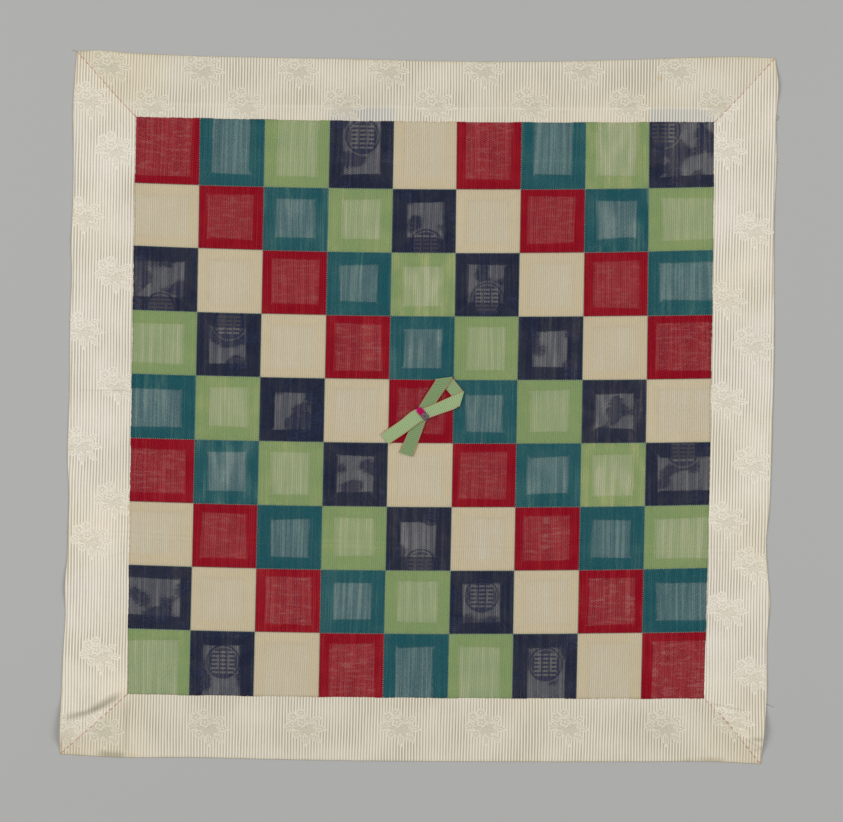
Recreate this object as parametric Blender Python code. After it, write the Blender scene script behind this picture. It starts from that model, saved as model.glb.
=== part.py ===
"""Wrapping cloth of silk patchwork with a wide mitred border and a ribbon loop, lying flat and face up.

Sizes are in millimetres and become metres when a mesh is made. The origin is on the surface that the cloth
lies on, under the middle of its outline. +X is the right of the cloth, +Y its top edge, +Z is up.
"""

import math
from collections import namedtuple

import bmesh
import bpy
from mathutils import Vector

MM = 0.001

# Cloth
SQUARES = 9
GAUZE = 1.0
HEM_STEP = 0.3
HEM_WIDTH = 10.5
HEM_SLOPE = 0.8
BORDER = 1.4
GAP = 0.3

# Ribbon and its tack
RIBBON = 1.0
RIBBON_REST = GAUZE + HEM_STEP + GAP
RIBBON_TURN = (RIBBON + GAP) / 2
RIBBON_TURN_STEPS = 5
TACK = 0.8
TACK_WIDTH = 5.0
TACK_CENTRE = (3.4, -5.9)
TACK_SLOPE_DEG = -46.5
TACK_CORNER = 0.9
TACK_CROWN = 0.25
TACK_CREST = 0.4
TACK_BEND_DEG = (30, 60, 90)
MAGENTA_REACH = 7.8
MAUVE_REACH = 8.0
LOOP_MIDDLE = (20.0, 4.0)

# Border grid: where the lines across a strip begin to fan out, their places, and the lines along it
FAN_FROM = 170.0
STATION_STEP = 42.0
STATION_APART = 2.0
END_STATIONS = (7.0, 15.0, 25.0)
ARCH_STATIONS_UP = (0.0, 0.25, 0.5, 0.75, 1.0)
ARCH_STATIONS_DOWN = (0.33, 0.66, 1.0)
NOSE = 1.0
WIDTH_LINES = (0.14, 0.3, 0.6)
BOW_REACH = 60.0

# Meshing
SHARP_DEG = 35
FLAT_DEG = 0.3
SEARCH_PASSES = 8

Seam = namedtuple("Seam", "first middle last")
EdgePoint = namedtuple("EdgePoint", "along out")
Corner = namedtuple("Corner", "outer inner bow")
Crease = namedtuple("Crease", "left centre right ridges height half_width")
Arch = namedtuple("Arch", "side peak up down height depth")
Rung = namedtuple("Rung", "place left right layer turn")
Finish = namedtuple("Finish", "colour roughness")

# Upright seams between the columns: x beside the top row, the middle row and the bottom row.
COLUMN_SEAMS = (
    Seam(-254.0, -254.6, -254.8),
    Seam(-197.3, -198.0, -199.9),
    Seam(-139.9, -141.1, -142.8),
    Seam(-82.5, -83.8, -85.2),
    Seam(-25.7, -26.8, -28.2),
    Seam(30.2, 30.5, 29.2),
    Seam(87.6, 86.8, 86.1),
    Seam(144.5, 144.3, 143.2),
    Seam(200.7, 201.4, 200.3),
    Seam(258.0, 258.2, 256.3),
)

# Level seams between the rows: y beside the left column, the middle column and the right column.
ROW_SEAMS = (
    Seam(253.2, 252.6, 255.4),
    Seam(194.3, 192.9, 197.4),
    Seam(138.7, 136.5, 141.6),
    Seam(81.9, 80.4, 84.4),
    Seam(25.6, 24.3, 27.9),
    Seam(-31.2, -32.0, -28.2),
    Seam(-87.6, -88.6, -84.1),
    Seam(-143.8, -144.9, -139.9),
    Seam(-200.2, -200.9, -196.4),
    Seam(-257.8, -257.4, -255.0),
)

SQUARE = (COLUMN_SEAMS[-1].middle - COLUMN_SEAMS[0].middle) / SQUARES

# Outer edges: the place along the edge, and how far out the edge lies there.
TOP_EDGE = (
    EdgePoint(-307.3, 310.8), EdgePoint(-287.6, 312.0), EdgePoint(-268.5, 310.5), EdgePoint(-208.8, 308.4),
    EdgePoint(-137.8, 307.7), EdgePoint(-65.8, 307.4), EdgePoint(-2.8, 306.7), EdgePoint(93.2, 307.2),
    EdgePoint(188.2, 310.5), EdgePoint(236.2, 312.8), EdgePoint(283.7, 314.1), EdgePoint(311.2, 313.4),
)
BOTTOM_EDGE = (
    EdgePoint(-313.7, -311.8), EdgePoint(-257.4, -314.0), EdgePoint(-200.3, -313.2),
    EdgePoint(-128.8, -313.8), EdgePoint(-57.8, -314.1), EdgePoint(6.2, -313.8),
    EdgePoint(101.2, -312.8), EdgePoint(197.2, -311.5), EdgePoint(268.2, -310.5), EdgePoint(307.0, -311.9),
)
LEFT_EDGE = (
    EdgePoint(-311.8, -313.7), EdgePoint(-269.4, -313.2), EdgePoint(-222.4, -312.2),
    EdgePoint(-186.4, -310.4), EdgePoint(-162.4, -311.2), EdgePoint(-141.4, -309.8),
    EdgePoint(-110.4, -309.0), EdgePoint(-79.4, -308.8),
    EdgePoint(-55.4, -310.3), EdgePoint(11.6, -309.5), EdgePoint(70.6, -310.0), EdgePoint(118.6, -309.1),
    EdgePoint(142.6, -310.2), EdgePoint(165.6, -309.3), EdgePoint(223.6, -309.0), EdgePoint(254.6, -310.1),
    EdgePoint(310.8, -307.3),
)
RIGHT_EDGE = (
    EdgePoint(-311.9, 307.0), EdgePoint(-285.4, 309.1), EdgePoint(-256.4, 311.4), EdgePoint(-201.4, 311.1),
    EdgePoint(-166.4, 313.0), EdgePoint(-142.4, 310.9), EdgePoint(-113.4, 309.1), EdgePoint(-94.4, 310.9),
    EdgePoint(-46.4, 312.6), EdgePoint(2.6, 313.3), EdgePoint(66.6, 313.8), EdgePoint(126.6, 312.6),
    EdgePoint(174.6, 312.3), EdgePoint(231.6, 313.5), EdgePoint(250.6, 312.7), EdgePoint(293.6, 313.8),
    EdgePoint(313.4, 311.2),
)

# Corners of the border: outer corner, inner corner, and how far the mitre seam bows out of a straight line.
CORNERS = {
    "top_left": Corner((-307.3, 310.8), (-253.9, 253.2), 0.6),
    "top_right": Corner((311.2, 313.4), (258.2, 255.8), -0.6),
    "bottom_left": Corner((-313.7, -311.8), (-254.9, -257.8), 0.4),
    "bottom_right": Corner((307.0, -311.9), (256.2, -255.0), 1.8),
}

# Creases that run across the whole cloth: y at the left edge, in the middle and at the right edge.
CREASES = (
    Crease(-110.4, -121.2, -118.4, (0.0, -4.6), 0.7, 2.2),
    Crease(214.6, 217.8, 220.6, (0.0,), 0.5, 2.2),
)
CREASE_ENDS = 312.0

# Places where an edge arches up off the surface: y of its peak, its reach up and down the edge, its height,
# and how far in it fades out.
ARCHES = (
    Arch("left", -293.0, 38.0, 17.0, 5.4, 30.0),
    Arch("right", -284.0, 26.0, 25.0, 5.0, 30.0),
    Arch("right", 289.0, 22.0, 20.0, 2.0, 24.0),
    Arch("left", -161.0, 30.0, 28.0, 1.6, 22.0),
)

# The ribbon from one cut end to the other: the two edge points of each rung, its layer (0 lies on the
# cloth, 1 lies on the lower layer), and the sign of a turn where the ribbon is folded back.
RUNGS = (
    Rung("end of the second tail", (-17.0, -40.4), (-4.9, -44.1), 0.0, 0),
    Rung("second tail", (-9.0, -21.4), (2.0, -24.9), 0.0, 0),
    Rung("under the tack", (-1.7, -2.9), (8.0, -8.5), 0.0, 0),
    Rung("clear of the right arm", (4.6, 8.2), (15.4, 4.3), 0.0, 0),
    Rung("rising", (7.4, 12.7), (18.9, 9.9), 0.45, 0),
    Rung("on the middle leg", (10.3, 17.4), (22.5, 15.1), 1.0, 0),
    Rung("first fold", (14.3, 24.0), (29.2, 26.1), 1.0, -1),
    Rung("middle leg", (23.7, 15.8), (31.4, 23.8), 0.0, 0),
    Rung("middle leg, lower half", (28.4, 10.3), (36.4, 17.7), 0.0, 0),
    Rung("second fold", (35.0, 1.0), (38.8, 14.7), 0.0, 1),
    Rung("right arm", (32.4, -0.9), (28.1, 9.8), 1.0, 0),
    Rung("right arm, middle", (20.0, -5.6), (14.9, 3.7), 1.0, 0),
    Rung("over the left arm", (8.3, -10.0), (4.0, -0.6), 1.0, 0),
    Rung("crossing", (3.7, -12.0), (-2.3, -1.9), 1.0, 0),
    Rung("first tail", (-10.8, -22.7), (-16.8, -12.5), 1.0, 0),
    Rung("coming down", (-17.4, -27.3), (-23.7, -17.4), 0.4, 0),
    Rung("end of the first tail", (-26.5, -33.4), (-33.3, -24.3), 0.0, 0),
)

# Half of the tack in section: shares of its width and of its thickness, with its upper corners rounded off.
TACK_SECTION = ((-0.5, -0.5), (0.5, -0.5), (0.5, 0.1), (0.3, 0.5), (-0.3, 0.5), (-0.5, 0.1))

FINISHES = {
    "patchwork_panel": Finish((0.16, 0.17, 0.13), 0.8),
    "border": Finish((0.68, 0.62, 0.50), 0.6),
    "ribbon": Finish((0.24, 0.35, 0.15), 0.6),
    "tack_magenta": Finish((0.45, 0.01, 0.11), 0.4),
    "tack_mauve": Finish((0.12, 0.09, 0.11), 0.45),
}


def blend(a, b, share):
    """The value at a share of the way from a to b."""
    return a + (b - a) * share


def between(points, at):
    """The value at a place along a rising list of (place, value) pairs, straight from point to point."""
    if at <= points[0][0]:
        return points[0][1]
    for (place_a, value_a), (place_b, value_b) in zip(points, points[1:]):
        if at <= place_b:
            return blend(value_a, value_b, (at - place_a) / (place_b - place_a))
    return points[-1][1]


def seam_at(seam, place):
    """A seam's place at a number of squares along it: a parabola through the three places that are known."""
    near, middle, far = 0.5, SQUARES / 2, SQUARES - 0.5
    first = seam.first * (place - middle) * (place - far) / ((near - middle) * (near - far))
    second = seam.middle * (place - near) * (place - far) / ((middle - near) * (middle - far))
    third = seam.last * (place - near) * (place - middle) / ((far - near) * (far - middle))
    return first + second + third


def seams_at(seams, index, place):
    """The place of a line that lies a fractional number of squares across a set of seams."""
    low = min(int(index), SQUARES - 1)
    return blend(seam_at(seams[low], place), seam_at(seams[low + 1], place), index - low)


def cloth_point(column, row):
    """x and y of a point of the patchwork, counted in squares from its top left corner."""
    return seams_at(COLUMN_SEAMS, column, row), seams_at(ROW_SEAMS, row, column)


def crease_at(crease, x):
    """y of a crease at an x: a parabola through its three places."""
    bend = ((crease.left + crease.right) / 2 - crease.centre) / CREASE_ENDS**2
    return crease.centre + (crease.right - crease.left) / (2 * CREASE_ENDS) * x + bend * x * x


def crease_lift(x, y):
    """How high the creases raise the cloth."""
    lift = 0.0
    for crease in CREASES:
        for ridge in crease.ridges:
            off = abs(y - crease_at(crease, x) - ridge)
            lift = max(lift, crease.height * (1 - off / crease.half_width))
    return lift


def arch_lift(x, y):
    """How high the arched edges raise the cloth."""
    lift = 0.0
    for arch in ARCHES:
        reach = arch.up if y > arch.peak else arch.down
        off = abs(y - arch.peak) / reach
        inward = x - between(LEFT_EDGE, y) if arch.side == "left" else between(RIGHT_EDGE, y) - x
        fade = 1 - inward / arch.depth
        if off < 1 and fade > 0:
            lift = max(lift, arch.height * math.cos(off * math.pi / 2) ** 2 * fade * fade)
    return lift


def lift_at(x, y):
    """Height of the cloth's underside above the surface."""
    return max(crease_lift(x, y), arch_lift(x, y))


def finish_material(name, finish):
    """A plain material of the piece's own colour."""
    material = bpy.data.materials.new(name)
    material.use_nodes = True
    shader = material.node_tree.nodes["Principled BSDF"]
    shader.inputs["Base Color"].default_value = (*finish.colour, 1.0)
    shader.inputs["Roughness"].default_value = finish.roughness
    material.diffuse_color = (*finish.colour, 1.0)
    return material


def add_piece(name, bm, finish):
    """Makes an object of a finished mesh, with its faces pointing out."""
    bmesh.ops.recalc_face_normals(bm, faces=bm.faces[:])
    mesh = bpy.data.meshes.new(name)
    bm.to_mesh(mesh)
    bm.free()
    mesh.shade_smooth()
    mesh.set_sharp_from_angle(angle=math.radians(SHARP_DEG))
    mesh.materials.append(finish_material(name, finish))
    piece = bpy.data.objects.new(name, mesh)
    bpy.context.scene.collection.objects.link(piece)
    return piece


def through_rings(rings):
    """A closed body through rings that all have as many corners: one face, extruded from ring to ring."""
    bm = bmesh.new()
    face = bm.faces.new([bm.verts.new(Vector(point) * MM) for point in rings[0]])
    for ring in rings[1:]:
        face = bmesh.ops.extrude_discrete_faces(bm, faces=[face])["faces"][0]
        for vert, point in zip(face.verts, ring):
            vert.co = Vector(point) * MM
    bmesh.ops.holes_fill(bm, edges=[edge for edge in bm.edges if edge.is_boundary])
    return bm


def panel_lines(crease_rows):
    """Grid lines of the patchwork, in squares: each square's hem, and the flanks and tops of the creases.

    Each line is a pair: a function of the place across it that gives its place in squares, and whether it
    lies on the doubled hem.
    """
    lines = []
    hem = HEM_WIDTH / SQUARE
    slope = HEM_SLOPE / 2 / SQUARE
    for square in range(SQUARES):
        lines.append((square, square > 0))
        if square > 0:
            lines += [(square + hem - slope, True), (square + hem + slope, False)]
        if square < SQUARES - 1:
            lines += [(square + 1 - hem - slope, False), (square + 1 - hem + slope, True)]
    lines.append((SQUARES, False))
    fixed = [(lambda across, place=place: place, on_hem) for place, on_hem in lines]
    return sorted(fixed + crease_rows, key=lambda line: line[0](SQUARES / 2))


def row_of(column, y):
    """How many squares down a y lies, in a place across the patchwork."""
    place = SQUARES / 2
    for _ in range(SEARCH_PASSES):
        place += (seams_at(ROW_SEAMS, place, column) - y) / SQUARE
    return place


def crease_row_lines():
    """Grid lines along the flanks and tops of the creases, which the patchwork's rows take in."""
    lines = []
    for crease in CREASES:
        flanks = [crease.ridges[0] + crease.half_width, *crease.ridges, crease.ridges[-1] - crease.half_width]
        tops = [(a + b) / 2 for a, b in zip(crease.ridges, crease.ridges[1:])]
        for offset in flanks + tops:
            def place(column, crease=crease, offset=offset):
                x = seams_at(COLUMN_SEAMS, column, SQUARES / 2)
                return row_of(column, crease_at(crease, x) + offset)
            lines.append((place, False))
    return lines


def make_panel():
    """The patchwork: one sheet with the doubled hems of its squares standing a little higher."""
    columns = panel_lines([])
    rows = panel_lines(crease_row_lines())
    wide, high = len(columns) - 1, len(rows) - 1
    bm = bmesh.new()
    bmesh.ops.create_grid(bm, x_segments=wide, y_segments=high, size=1.0)
    for vert in bm.verts:
        across = round((vert.co.x + 1) / 2 * wide)
        down = round((1 - vert.co.y) / 2 * high)
        column = columns[across][0](0)
        row = rows[down][0](column)
        x, y = cloth_point(column, row)
        x += GAP / 2 * ((across == 0) - (across == wide))
        y -= GAP / 2 * ((down == 0) - (down == high))
        step = HEM_STEP if columns[across][1] or rows[down][1] else 0.0
        vert.co = Vector((x, y, lift_at(x, y) + GAUZE + step)) * MM
    top = bm.faces[:]
    made = bmesh.ops.extrude_face_region(bm, geom=top, use_keep_orig=True)["geom"]
    for vert in [item for item in made if isinstance(item, bmesh.types.BMVert)]:
        vert.co.z = lift_at(vert.co.x / MM, vert.co.y / MM) * MM
    under = [item for item in made if isinstance(item, bmesh.types.BMFace)]
    under_edges = list({edge for face in under for edge in face.edges})
    under_verts = list({vert for face in under for vert in face.verts})
    bmesh.ops.dissolve_limit(
        bm, angle_limit=math.radians(FLAT_DEG), use_dissolve_boundaries=False,
        verts=under_verts, edges=under_edges,
    )
    bmesh.ops.triangulate(bm, faces=[face for face in bm.faces if len(face.verts) > 4])
    add_piece("patchwork_panel", bm, FINISHES["patchwork_panel"])


def spread(places):
    """Places in rising order, with any that lies too near the one before it left out, and both ends kept."""
    places = sorted(places)
    kept = [places[0]]
    for place in places[1:-1]:
        if place - kept[-1] >= STATION_APART and places[-1] - place >= STATION_APART:
            kept.append(place)
    return kept + [places[-1]]


def even_places(start, end):
    """Places from start to end, at most one station step apart."""
    count = math.ceil((end - start) / STATION_STEP)
    return [blend(start, end, index / count) for index in range(count + 1)]


def side_stations(side, edge):
    """Places along an upright strip where its shape changes: the edge, the creases and the arches."""
    places = [point.along for point in edge]
    x = edge[0].out
    for crease in CREASES:
        middle = crease_at(crease, x)
        steps = [crease.half_width, 0.0, *crease.ridges, crease.ridges[-1] - crease.half_width]
        places += [middle + step for step in steps]
        places += [middle + (a + b) / 2 for a, b in zip(crease.ridges, crease.ridges[1:])]
    for arch in ARCHES:
        if arch.side == side:
            places += [arch.peak + arch.up * share for share in ARCH_STATIONS_UP]
            places += [arch.peak - arch.down * share for share in ARCH_STATIONS_DOWN]
    low, high = edge[0].along, edge[-1].along
    return spread([place for place in places if low <= place <= high] + even_places(low, high))


def level_stations(edge):
    """Places along a level strip where its shape changes, closer together at its two ends."""
    low, high = edge[0].along, edge[-1].along
    ends = [low + step for step in END_STATIONS] + [high - step for step in END_STATIONS]
    return spread([point.along for point in edge] + ends + even_places(low, high))


def inner_place(place, low, high):
    """Where the line from a place on the outer edge meets the inner seam: straight in, fanned to the mitres.

    low and high are the two corners that the strip runs between.
    """
    for corner, sign in ((low, -1), (high, 1)):
        outer, inner = corner
        if sign * place > FAN_FROM:
            share = (sign * place - FAN_FROM) / (sign * outer - FAN_FROM)
            return sign * blend(FAN_FROM, sign * inner, share)
    return place


def make_strip(side, edge, stations, seam, corners):
    """One strip of the border, from mitre to mitre.

    seam is the seam of the patchwork that the strip is sewn to, and corners names the strip's two corners in
    rising order of place.
    """
    level = side in ("top", "bottom")
    first, last = (CORNERS[corner] for corner in corners)
    axis = 0 if level else 1
    outward = 1 if edge[0].out > 0 else -1
    low = (first.outer[axis], first.inner[axis])
    high = (last.outer[axis], last.inner[axis])
    rings = []
    for place in stations:
        inner = inner_place(place, low, high)
        squares = SQUARES * (inner - low[1]) / (high[1] - low[1])
        inner_out = seam_at(seam, squares if level else SQUARES - squares) + outward * GAP / 2
        outer_out = between(edge, place)
        width = abs(outer_out - inner_out)
        mitre_gap = GAP / math.sqrt(2) * ((place == stations[0]) - (place == stations[-1]))

        def point(share):
            along = blend(place, inner, share) + mitre_gap
            out = blend(outer_out, inner_out, share)
            x, y = (along, out) if level else (out, along)
            for corner in (first, last):
                near = max(0.0, 1 - abs(place - corner.outer[axis]) / BOW_REACH)
                line = Vector(corner.outer) - Vector(corner.inner)
                bow = corner.bow * near * math.sin(math.pi * share**1.5)
                x += -line.y / line.length * bow
                y += line.x / line.length * bow
            return x, y

        shares = (NOSE / width, *WIDTH_LINES, 1.0)
        tops = [(*point(share), BORDER) for share in shares]
        unders = [(*point(share), 0.0) for share in reversed(shares)]
        ring = [(*point(0.0), BORDER / 2)] + tops + unders
        rings.append([(x, y, z + lift_at(x, y)) for x, y, z in ring])
    add_piece("border_" + side, through_rings(rings), FINISHES["border"])


def make_border():
    """The four strips of the border."""
    bottom, top = ROW_SEAMS[-1], ROW_SEAMS[0]
    left, right = COLUMN_SEAMS[0], COLUMN_SEAMS[-1]
    make_strip("top", TOP_EDGE, level_stations(TOP_EDGE), top, ("top_left", "top_right"))
    make_strip("bottom", BOTTOM_EDGE, level_stations(BOTTOM_EDGE), bottom, ("bottom_left", "bottom_right"))
    make_strip("left", LEFT_EDGE, side_stations("left", LEFT_EDGE), left, ("bottom_left", "top_left"))
    make_strip("right", RIGHT_EDGE, side_stations("right", RIGHT_EDGE), right, ("bottom_right", "top_right"))


def ribbon_ring(left, right, height, normal):
    """The four corners of the ribbon's section between two edge points, thickened along a normal."""
    half = Vector(normal) * RIBBON / 2
    left, right = Vector((*left, height)), Vector((*right, height))
    return [left - half, right - half, right + half, left + half]


def make_ribbon():
    """The ribbon: one strip, folded back twice into a loop, with its two arms crossed under the tack."""
    low = RIBBON_REST + RIBBON / 2
    rise = RIBBON + GAP
    rings, face_up = [], 1
    for rung in RUNGS:
        if not rung.turn:
            rings.append(ribbon_ring(rung.left, rung.right, low + rise * rung.layer, (0, 0, face_up)))
            continue
        line = Vector(rung.right) - Vector(rung.left)
        outward = Vector((-line.y, line.x)).normalized()
        if outward.dot(Vector(rung.left) - Vector(LOOP_MIDDLE)) < 0:
            outward.negate()
        for step in range(RIBBON_TURN_STEPS + 1):
            angle = math.pi * step / RIBBON_TURN_STEPS
            height = low + rise / 2 - rung.turn * math.cos(angle) * RIBBON_TURN
            normal = (*outward * math.sin(angle), -rung.turn * math.cos(angle))
            shift = outward * math.sin(angle) * RIBBON_TURN
            rings.append(ribbon_ring(Vector(rung.left) + shift, Vector(rung.right) + shift, height, normal))
        face_up = -face_up
    add_piece("ribbon", through_rings(rings), FINISHES["ribbon"])


def tack_half(name, side, reach):
    """Half of the tack: it comes up out of the cloth beside the ribbon, bends over and lies across it.

    side is -1 for the upper left half and 1 for the lower right one. reach is how far out its foot stands.
    """
    slope = math.radians(TACK_SLOPE_DEG)
    along = Vector((math.cos(slope), math.sin(slope), 0.0)) * side
    across = Vector((-along.y, along.x, 0.0))
    over = RIBBON_REST + 2 * RIBBON + 2 * GAP + TACK / 2
    bend = reach - TACK_CORNER
    path = [(reach, RIBBON_REST, 0.0), (reach, over - TACK_CORNER, 0.0)]
    for step in TACK_BEND_DEG:
        turn = math.radians(step)
        away = bend + TACK_CORNER * math.cos(turn)
        path.append((away, over - TACK_CORNER + TACK_CORNER * math.sin(turn), turn))
    path += [(reach * TACK_CREST, over + TACK_CROWN, math.pi / 2), (GAP / 2, over + TACK_CROWN, math.pi / 2)]
    rings = []
    for away, height, turn in path:
        centre = Vector((*TACK_CENTRE, height)) + along * away
        normal = along * math.cos(turn) + Vector((0, 0, 1)) * math.sin(turn)
        rings.append([centre + across * a * TACK_WIDTH + normal * b * TACK for a, b in TACK_SECTION])
    add_piece(name, through_rings(rings), FINISHES[name])


def clear_scene():
    """Removes whatever objects the scene holds."""
    for item in list(bpy.context.scene.objects):
        bpy.data.objects.remove(item, do_unlink=True)


def main():
    """Builds every piece of the cloth."""
    clear_scene()
    make_panel()
    make_border()
    make_ribbon()
    tack_half("tack_magenta", -1, MAGENTA_REACH)
    tack_half("tack_mauve", 1, MAUVE_REACH)


main()
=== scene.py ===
"""Looks of a silk patchwork wrapping cloth with a wide mitred border and a ribbon loop, lying flat, face up.

Tables and sizes are in millimetres, as in the source of the solids, and become metres when a mesh is made.
The flat sizes of the sheets, the weave of the gauze and the studio are in metres from the start.
+X is the right of the cloth, +Y its top edge, +Z is up. The origin is on the surface that the cloth lies on.
"""

import logging
import math
import random
from bisect import bisect_right
from collections.abc import Callable, Sequence
from dataclasses import dataclass, field
from enum import Enum
from typing import NamedTuple

import bmesh
import bpy
from mathutils import Matrix, Vector, noise


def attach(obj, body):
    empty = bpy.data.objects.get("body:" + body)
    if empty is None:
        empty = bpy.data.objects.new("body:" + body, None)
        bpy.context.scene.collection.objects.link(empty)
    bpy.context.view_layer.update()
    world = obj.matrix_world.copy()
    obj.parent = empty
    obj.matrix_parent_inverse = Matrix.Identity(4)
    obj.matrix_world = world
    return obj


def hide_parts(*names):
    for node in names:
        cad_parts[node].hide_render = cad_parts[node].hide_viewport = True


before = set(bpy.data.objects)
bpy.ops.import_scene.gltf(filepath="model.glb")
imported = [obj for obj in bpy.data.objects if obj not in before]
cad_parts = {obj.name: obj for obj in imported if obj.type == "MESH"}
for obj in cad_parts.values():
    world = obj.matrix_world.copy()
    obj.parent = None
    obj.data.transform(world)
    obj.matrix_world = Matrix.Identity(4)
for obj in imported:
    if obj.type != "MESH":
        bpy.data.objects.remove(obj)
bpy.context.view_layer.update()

LOG = logging.getLogger("wrapping cloth")
MM = 0.001
WELD = 1e-7
NODE_STEP = (190, 170)
NODE_ROWS = 9
SHADER_PLACE = (2600, 0)
OUTPUT_PLACE = (2900, 0)

Colour = tuple[float, float, float]


class Seam(NamedTuple):
    """A seam of the patchwork: its place beside the first, the middle and the last square along it."""

    first: float
    middle: float
    last: float


class Corner(NamedTuple):
    """A corner of the border: its two ends, and how far the mitre seam bows out of a straight line."""

    outer: tuple[float, float]
    inner: tuple[float, float]
    bow: float


class Crease(NamedTuple):
    """A crease right across the cloth: its y at the left edge, in the middle and at the right edge."""

    left: float
    centre: float
    right: float
    ridges: tuple[float, ...]
    height: float
    half_width: float


class Wrinkle(NamedTuple):
    """A short soft ridge, or a trough where its height is negative, from one place to another."""

    start: tuple[float, float]
    end: tuple[float, float]
    height: float
    half_width: float


class Rung(NamedTuple):
    """The ribbon's two edge points at one place, its layer, and the sign of a turn where it folds back."""

    left: tuple[float, float]
    right: tuple[float, float]
    layer: float
    turn: int


class Stitch(NamedTuple):
    """One stitch: its middle, its direction in radians, its length and its width."""

    centre: Vector
    turn: float
    length: float
    width: float


class Side(Enum):
    """A side of the cloth: its name, the axis that it runs along, and the way out from it."""

    TOP = ("top", 0, 1)
    BOTTOM = ("bottom", 0, -1)
    LEFT = ("left", 1, -1)
    RIGHT = ("right", 1, 1)

    @property
    def label(self) -> str:
        """The side's plain name."""
        return self.value[0]

    @property
    def axis(self) -> int:
        """0 where the side runs along X, 1 where it runs along Y."""
        return self.value[1]

    @property
    def outward(self) -> int:
        """The sign of the way out of the cloth."""
        return self.value[2]


class Arch(NamedTuple):
    """An arched edge: its side, y of its peak, its reach both ways, its height and how far in it fades."""

    side: Side
    peak: float
    up: float
    down: float
    height: float
    depth: float


class Silk(Enum):
    """The five gauzes, in the order that they follow one another along a row."""

    RED = "red"
    TEAL = "teal"
    GREEN = "green"
    NAVY = "navy"
    IVORY = "ivory"


SILKS = tuple(Silk)

# The seams of the patchwork, from left to right and from top to bottom.
COLUMN_SEAMS = (
    Seam(-254.0, -254.6, -254.8), Seam(-197.3, -198.0, -199.9), Seam(-139.9, -141.1, -142.8),
    Seam(-82.5, -83.8, -85.2), Seam(-25.7, -26.8, -28.2), Seam(30.2, 30.5, 29.2), Seam(87.6, 86.8, 86.1),
    Seam(144.5, 144.3, 143.2), Seam(200.7, 201.4, 200.3), Seam(258.0, 258.2, 256.3),
)
ROW_SEAMS = (
    Seam(253.2, 252.6, 255.4), Seam(194.3, 192.9, 197.4), Seam(138.7, 136.5, 141.6), Seam(81.9, 80.4, 84.4),
    Seam(25.6, 24.3, 27.9), Seam(-31.2, -32.0, -28.2), Seam(-87.6, -88.6, -84.1),
    Seam(-143.8, -144.9, -139.9), Seam(-200.2, -200.9, -196.4), Seam(-257.8, -257.4, -255.0),
)

# Each outer edge by its points: a place along it, and how far out the edge lies there.
EDGES = {
    Side.TOP: (
        (-307.3, 310.8), (-287.6, 312.0), (-268.5, 310.5), (-208.8, 308.4), (-137.8, 307.7), (-65.8, 307.4),
        (-2.8, 306.7), (93.2, 307.2), (188.2, 310.5), (236.2, 312.8), (283.7, 314.1), (311.2, 313.4),
    ),
    Side.BOTTOM: (
        (-313.7, -311.8), (-257.4, -314.0), (-200.3, -313.2), (-128.8, -313.8), (-57.8, -314.1),
        (6.2, -313.8), (101.2, -312.8), (197.2, -311.5), (268.2, -310.5), (307.0, -311.9),
    ),
    Side.LEFT: (
        (-311.8, -313.7), (-269.4, -313.2), (-222.4, -312.2), (-186.4, -310.4), (-162.4, -311.2),
        (-141.4, -309.8), (-110.4, -309.0), (-79.4, -308.8), (-55.4, -310.3), (11.6, -309.5),
        (70.6, -310.0), (118.6, -309.1), (142.6, -310.2), (165.6, -309.3), (223.6, -309.0), (254.6, -310.1),
        (310.8, -307.3),
    ),
    Side.RIGHT: (
        (-311.9, 307.0), (-285.4, 309.1), (-256.4, 311.4), (-201.4, 311.1), (-166.4, 313.0),
        (-142.4, 310.9), (-113.4, 309.1), (-94.4, 310.9), (-46.4, 312.6), (2.6, 313.3), (66.6, 313.8),
        (126.6, 312.6), (174.6, 312.3), (231.6, 313.5), (250.6, 312.7), (293.6, 313.8), (313.4, 311.2),
    ),
}

TOP_LEFT = Corner((-307.3, 310.8), (-253.9, 253.2), 0.6)
TOP_RIGHT = Corner((311.2, 313.4), (258.2, 255.8), -0.6)
BOTTOM_LEFT = Corner((-313.7, -311.8), (-254.9, -257.8), 0.4)
BOTTOM_RIGHT = Corner((307.0, -311.9), (256.2, -255.0), 1.8)

# The two corners that each strip runs between, in rising order of place.
STRIP_CORNERS = {
    Side.TOP: (TOP_LEFT, TOP_RIGHT),
    Side.BOTTOM: (BOTTOM_LEFT, BOTTOM_RIGHT),
    Side.LEFT: (BOTTOM_LEFT, TOP_LEFT),
    Side.RIGHT: (BOTTOM_RIGHT, TOP_RIGHT),
}

# The long soft creases, and how far from the middle their outer places are read.
CREASES = (
    Crease(-110.4, -121.2, -118.4, (0.0, -4.6), 0.7, 2.2),
    Crease(214.6, 217.8, 220.6, (0.0,), 0.5, 2.2),
)
CREASE_ENDS = 312.0

# Where an edge stands off the surface that the cloth lies on.
ARCHES = (
    Arch(Side.LEFT, -293.0, 38.0, 17.0, 5.4, 30.0),
    Arch(Side.RIGHT, -284.0, 26.0, 25.0, 5.0, 30.0),
    Arch(Side.RIGHT, 289.0, 22.0, 20.0, 2.0, 24.0),
    Arch(Side.LEFT, -161.0, 30.0, 28.0, 1.6, 22.0),
)

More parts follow.
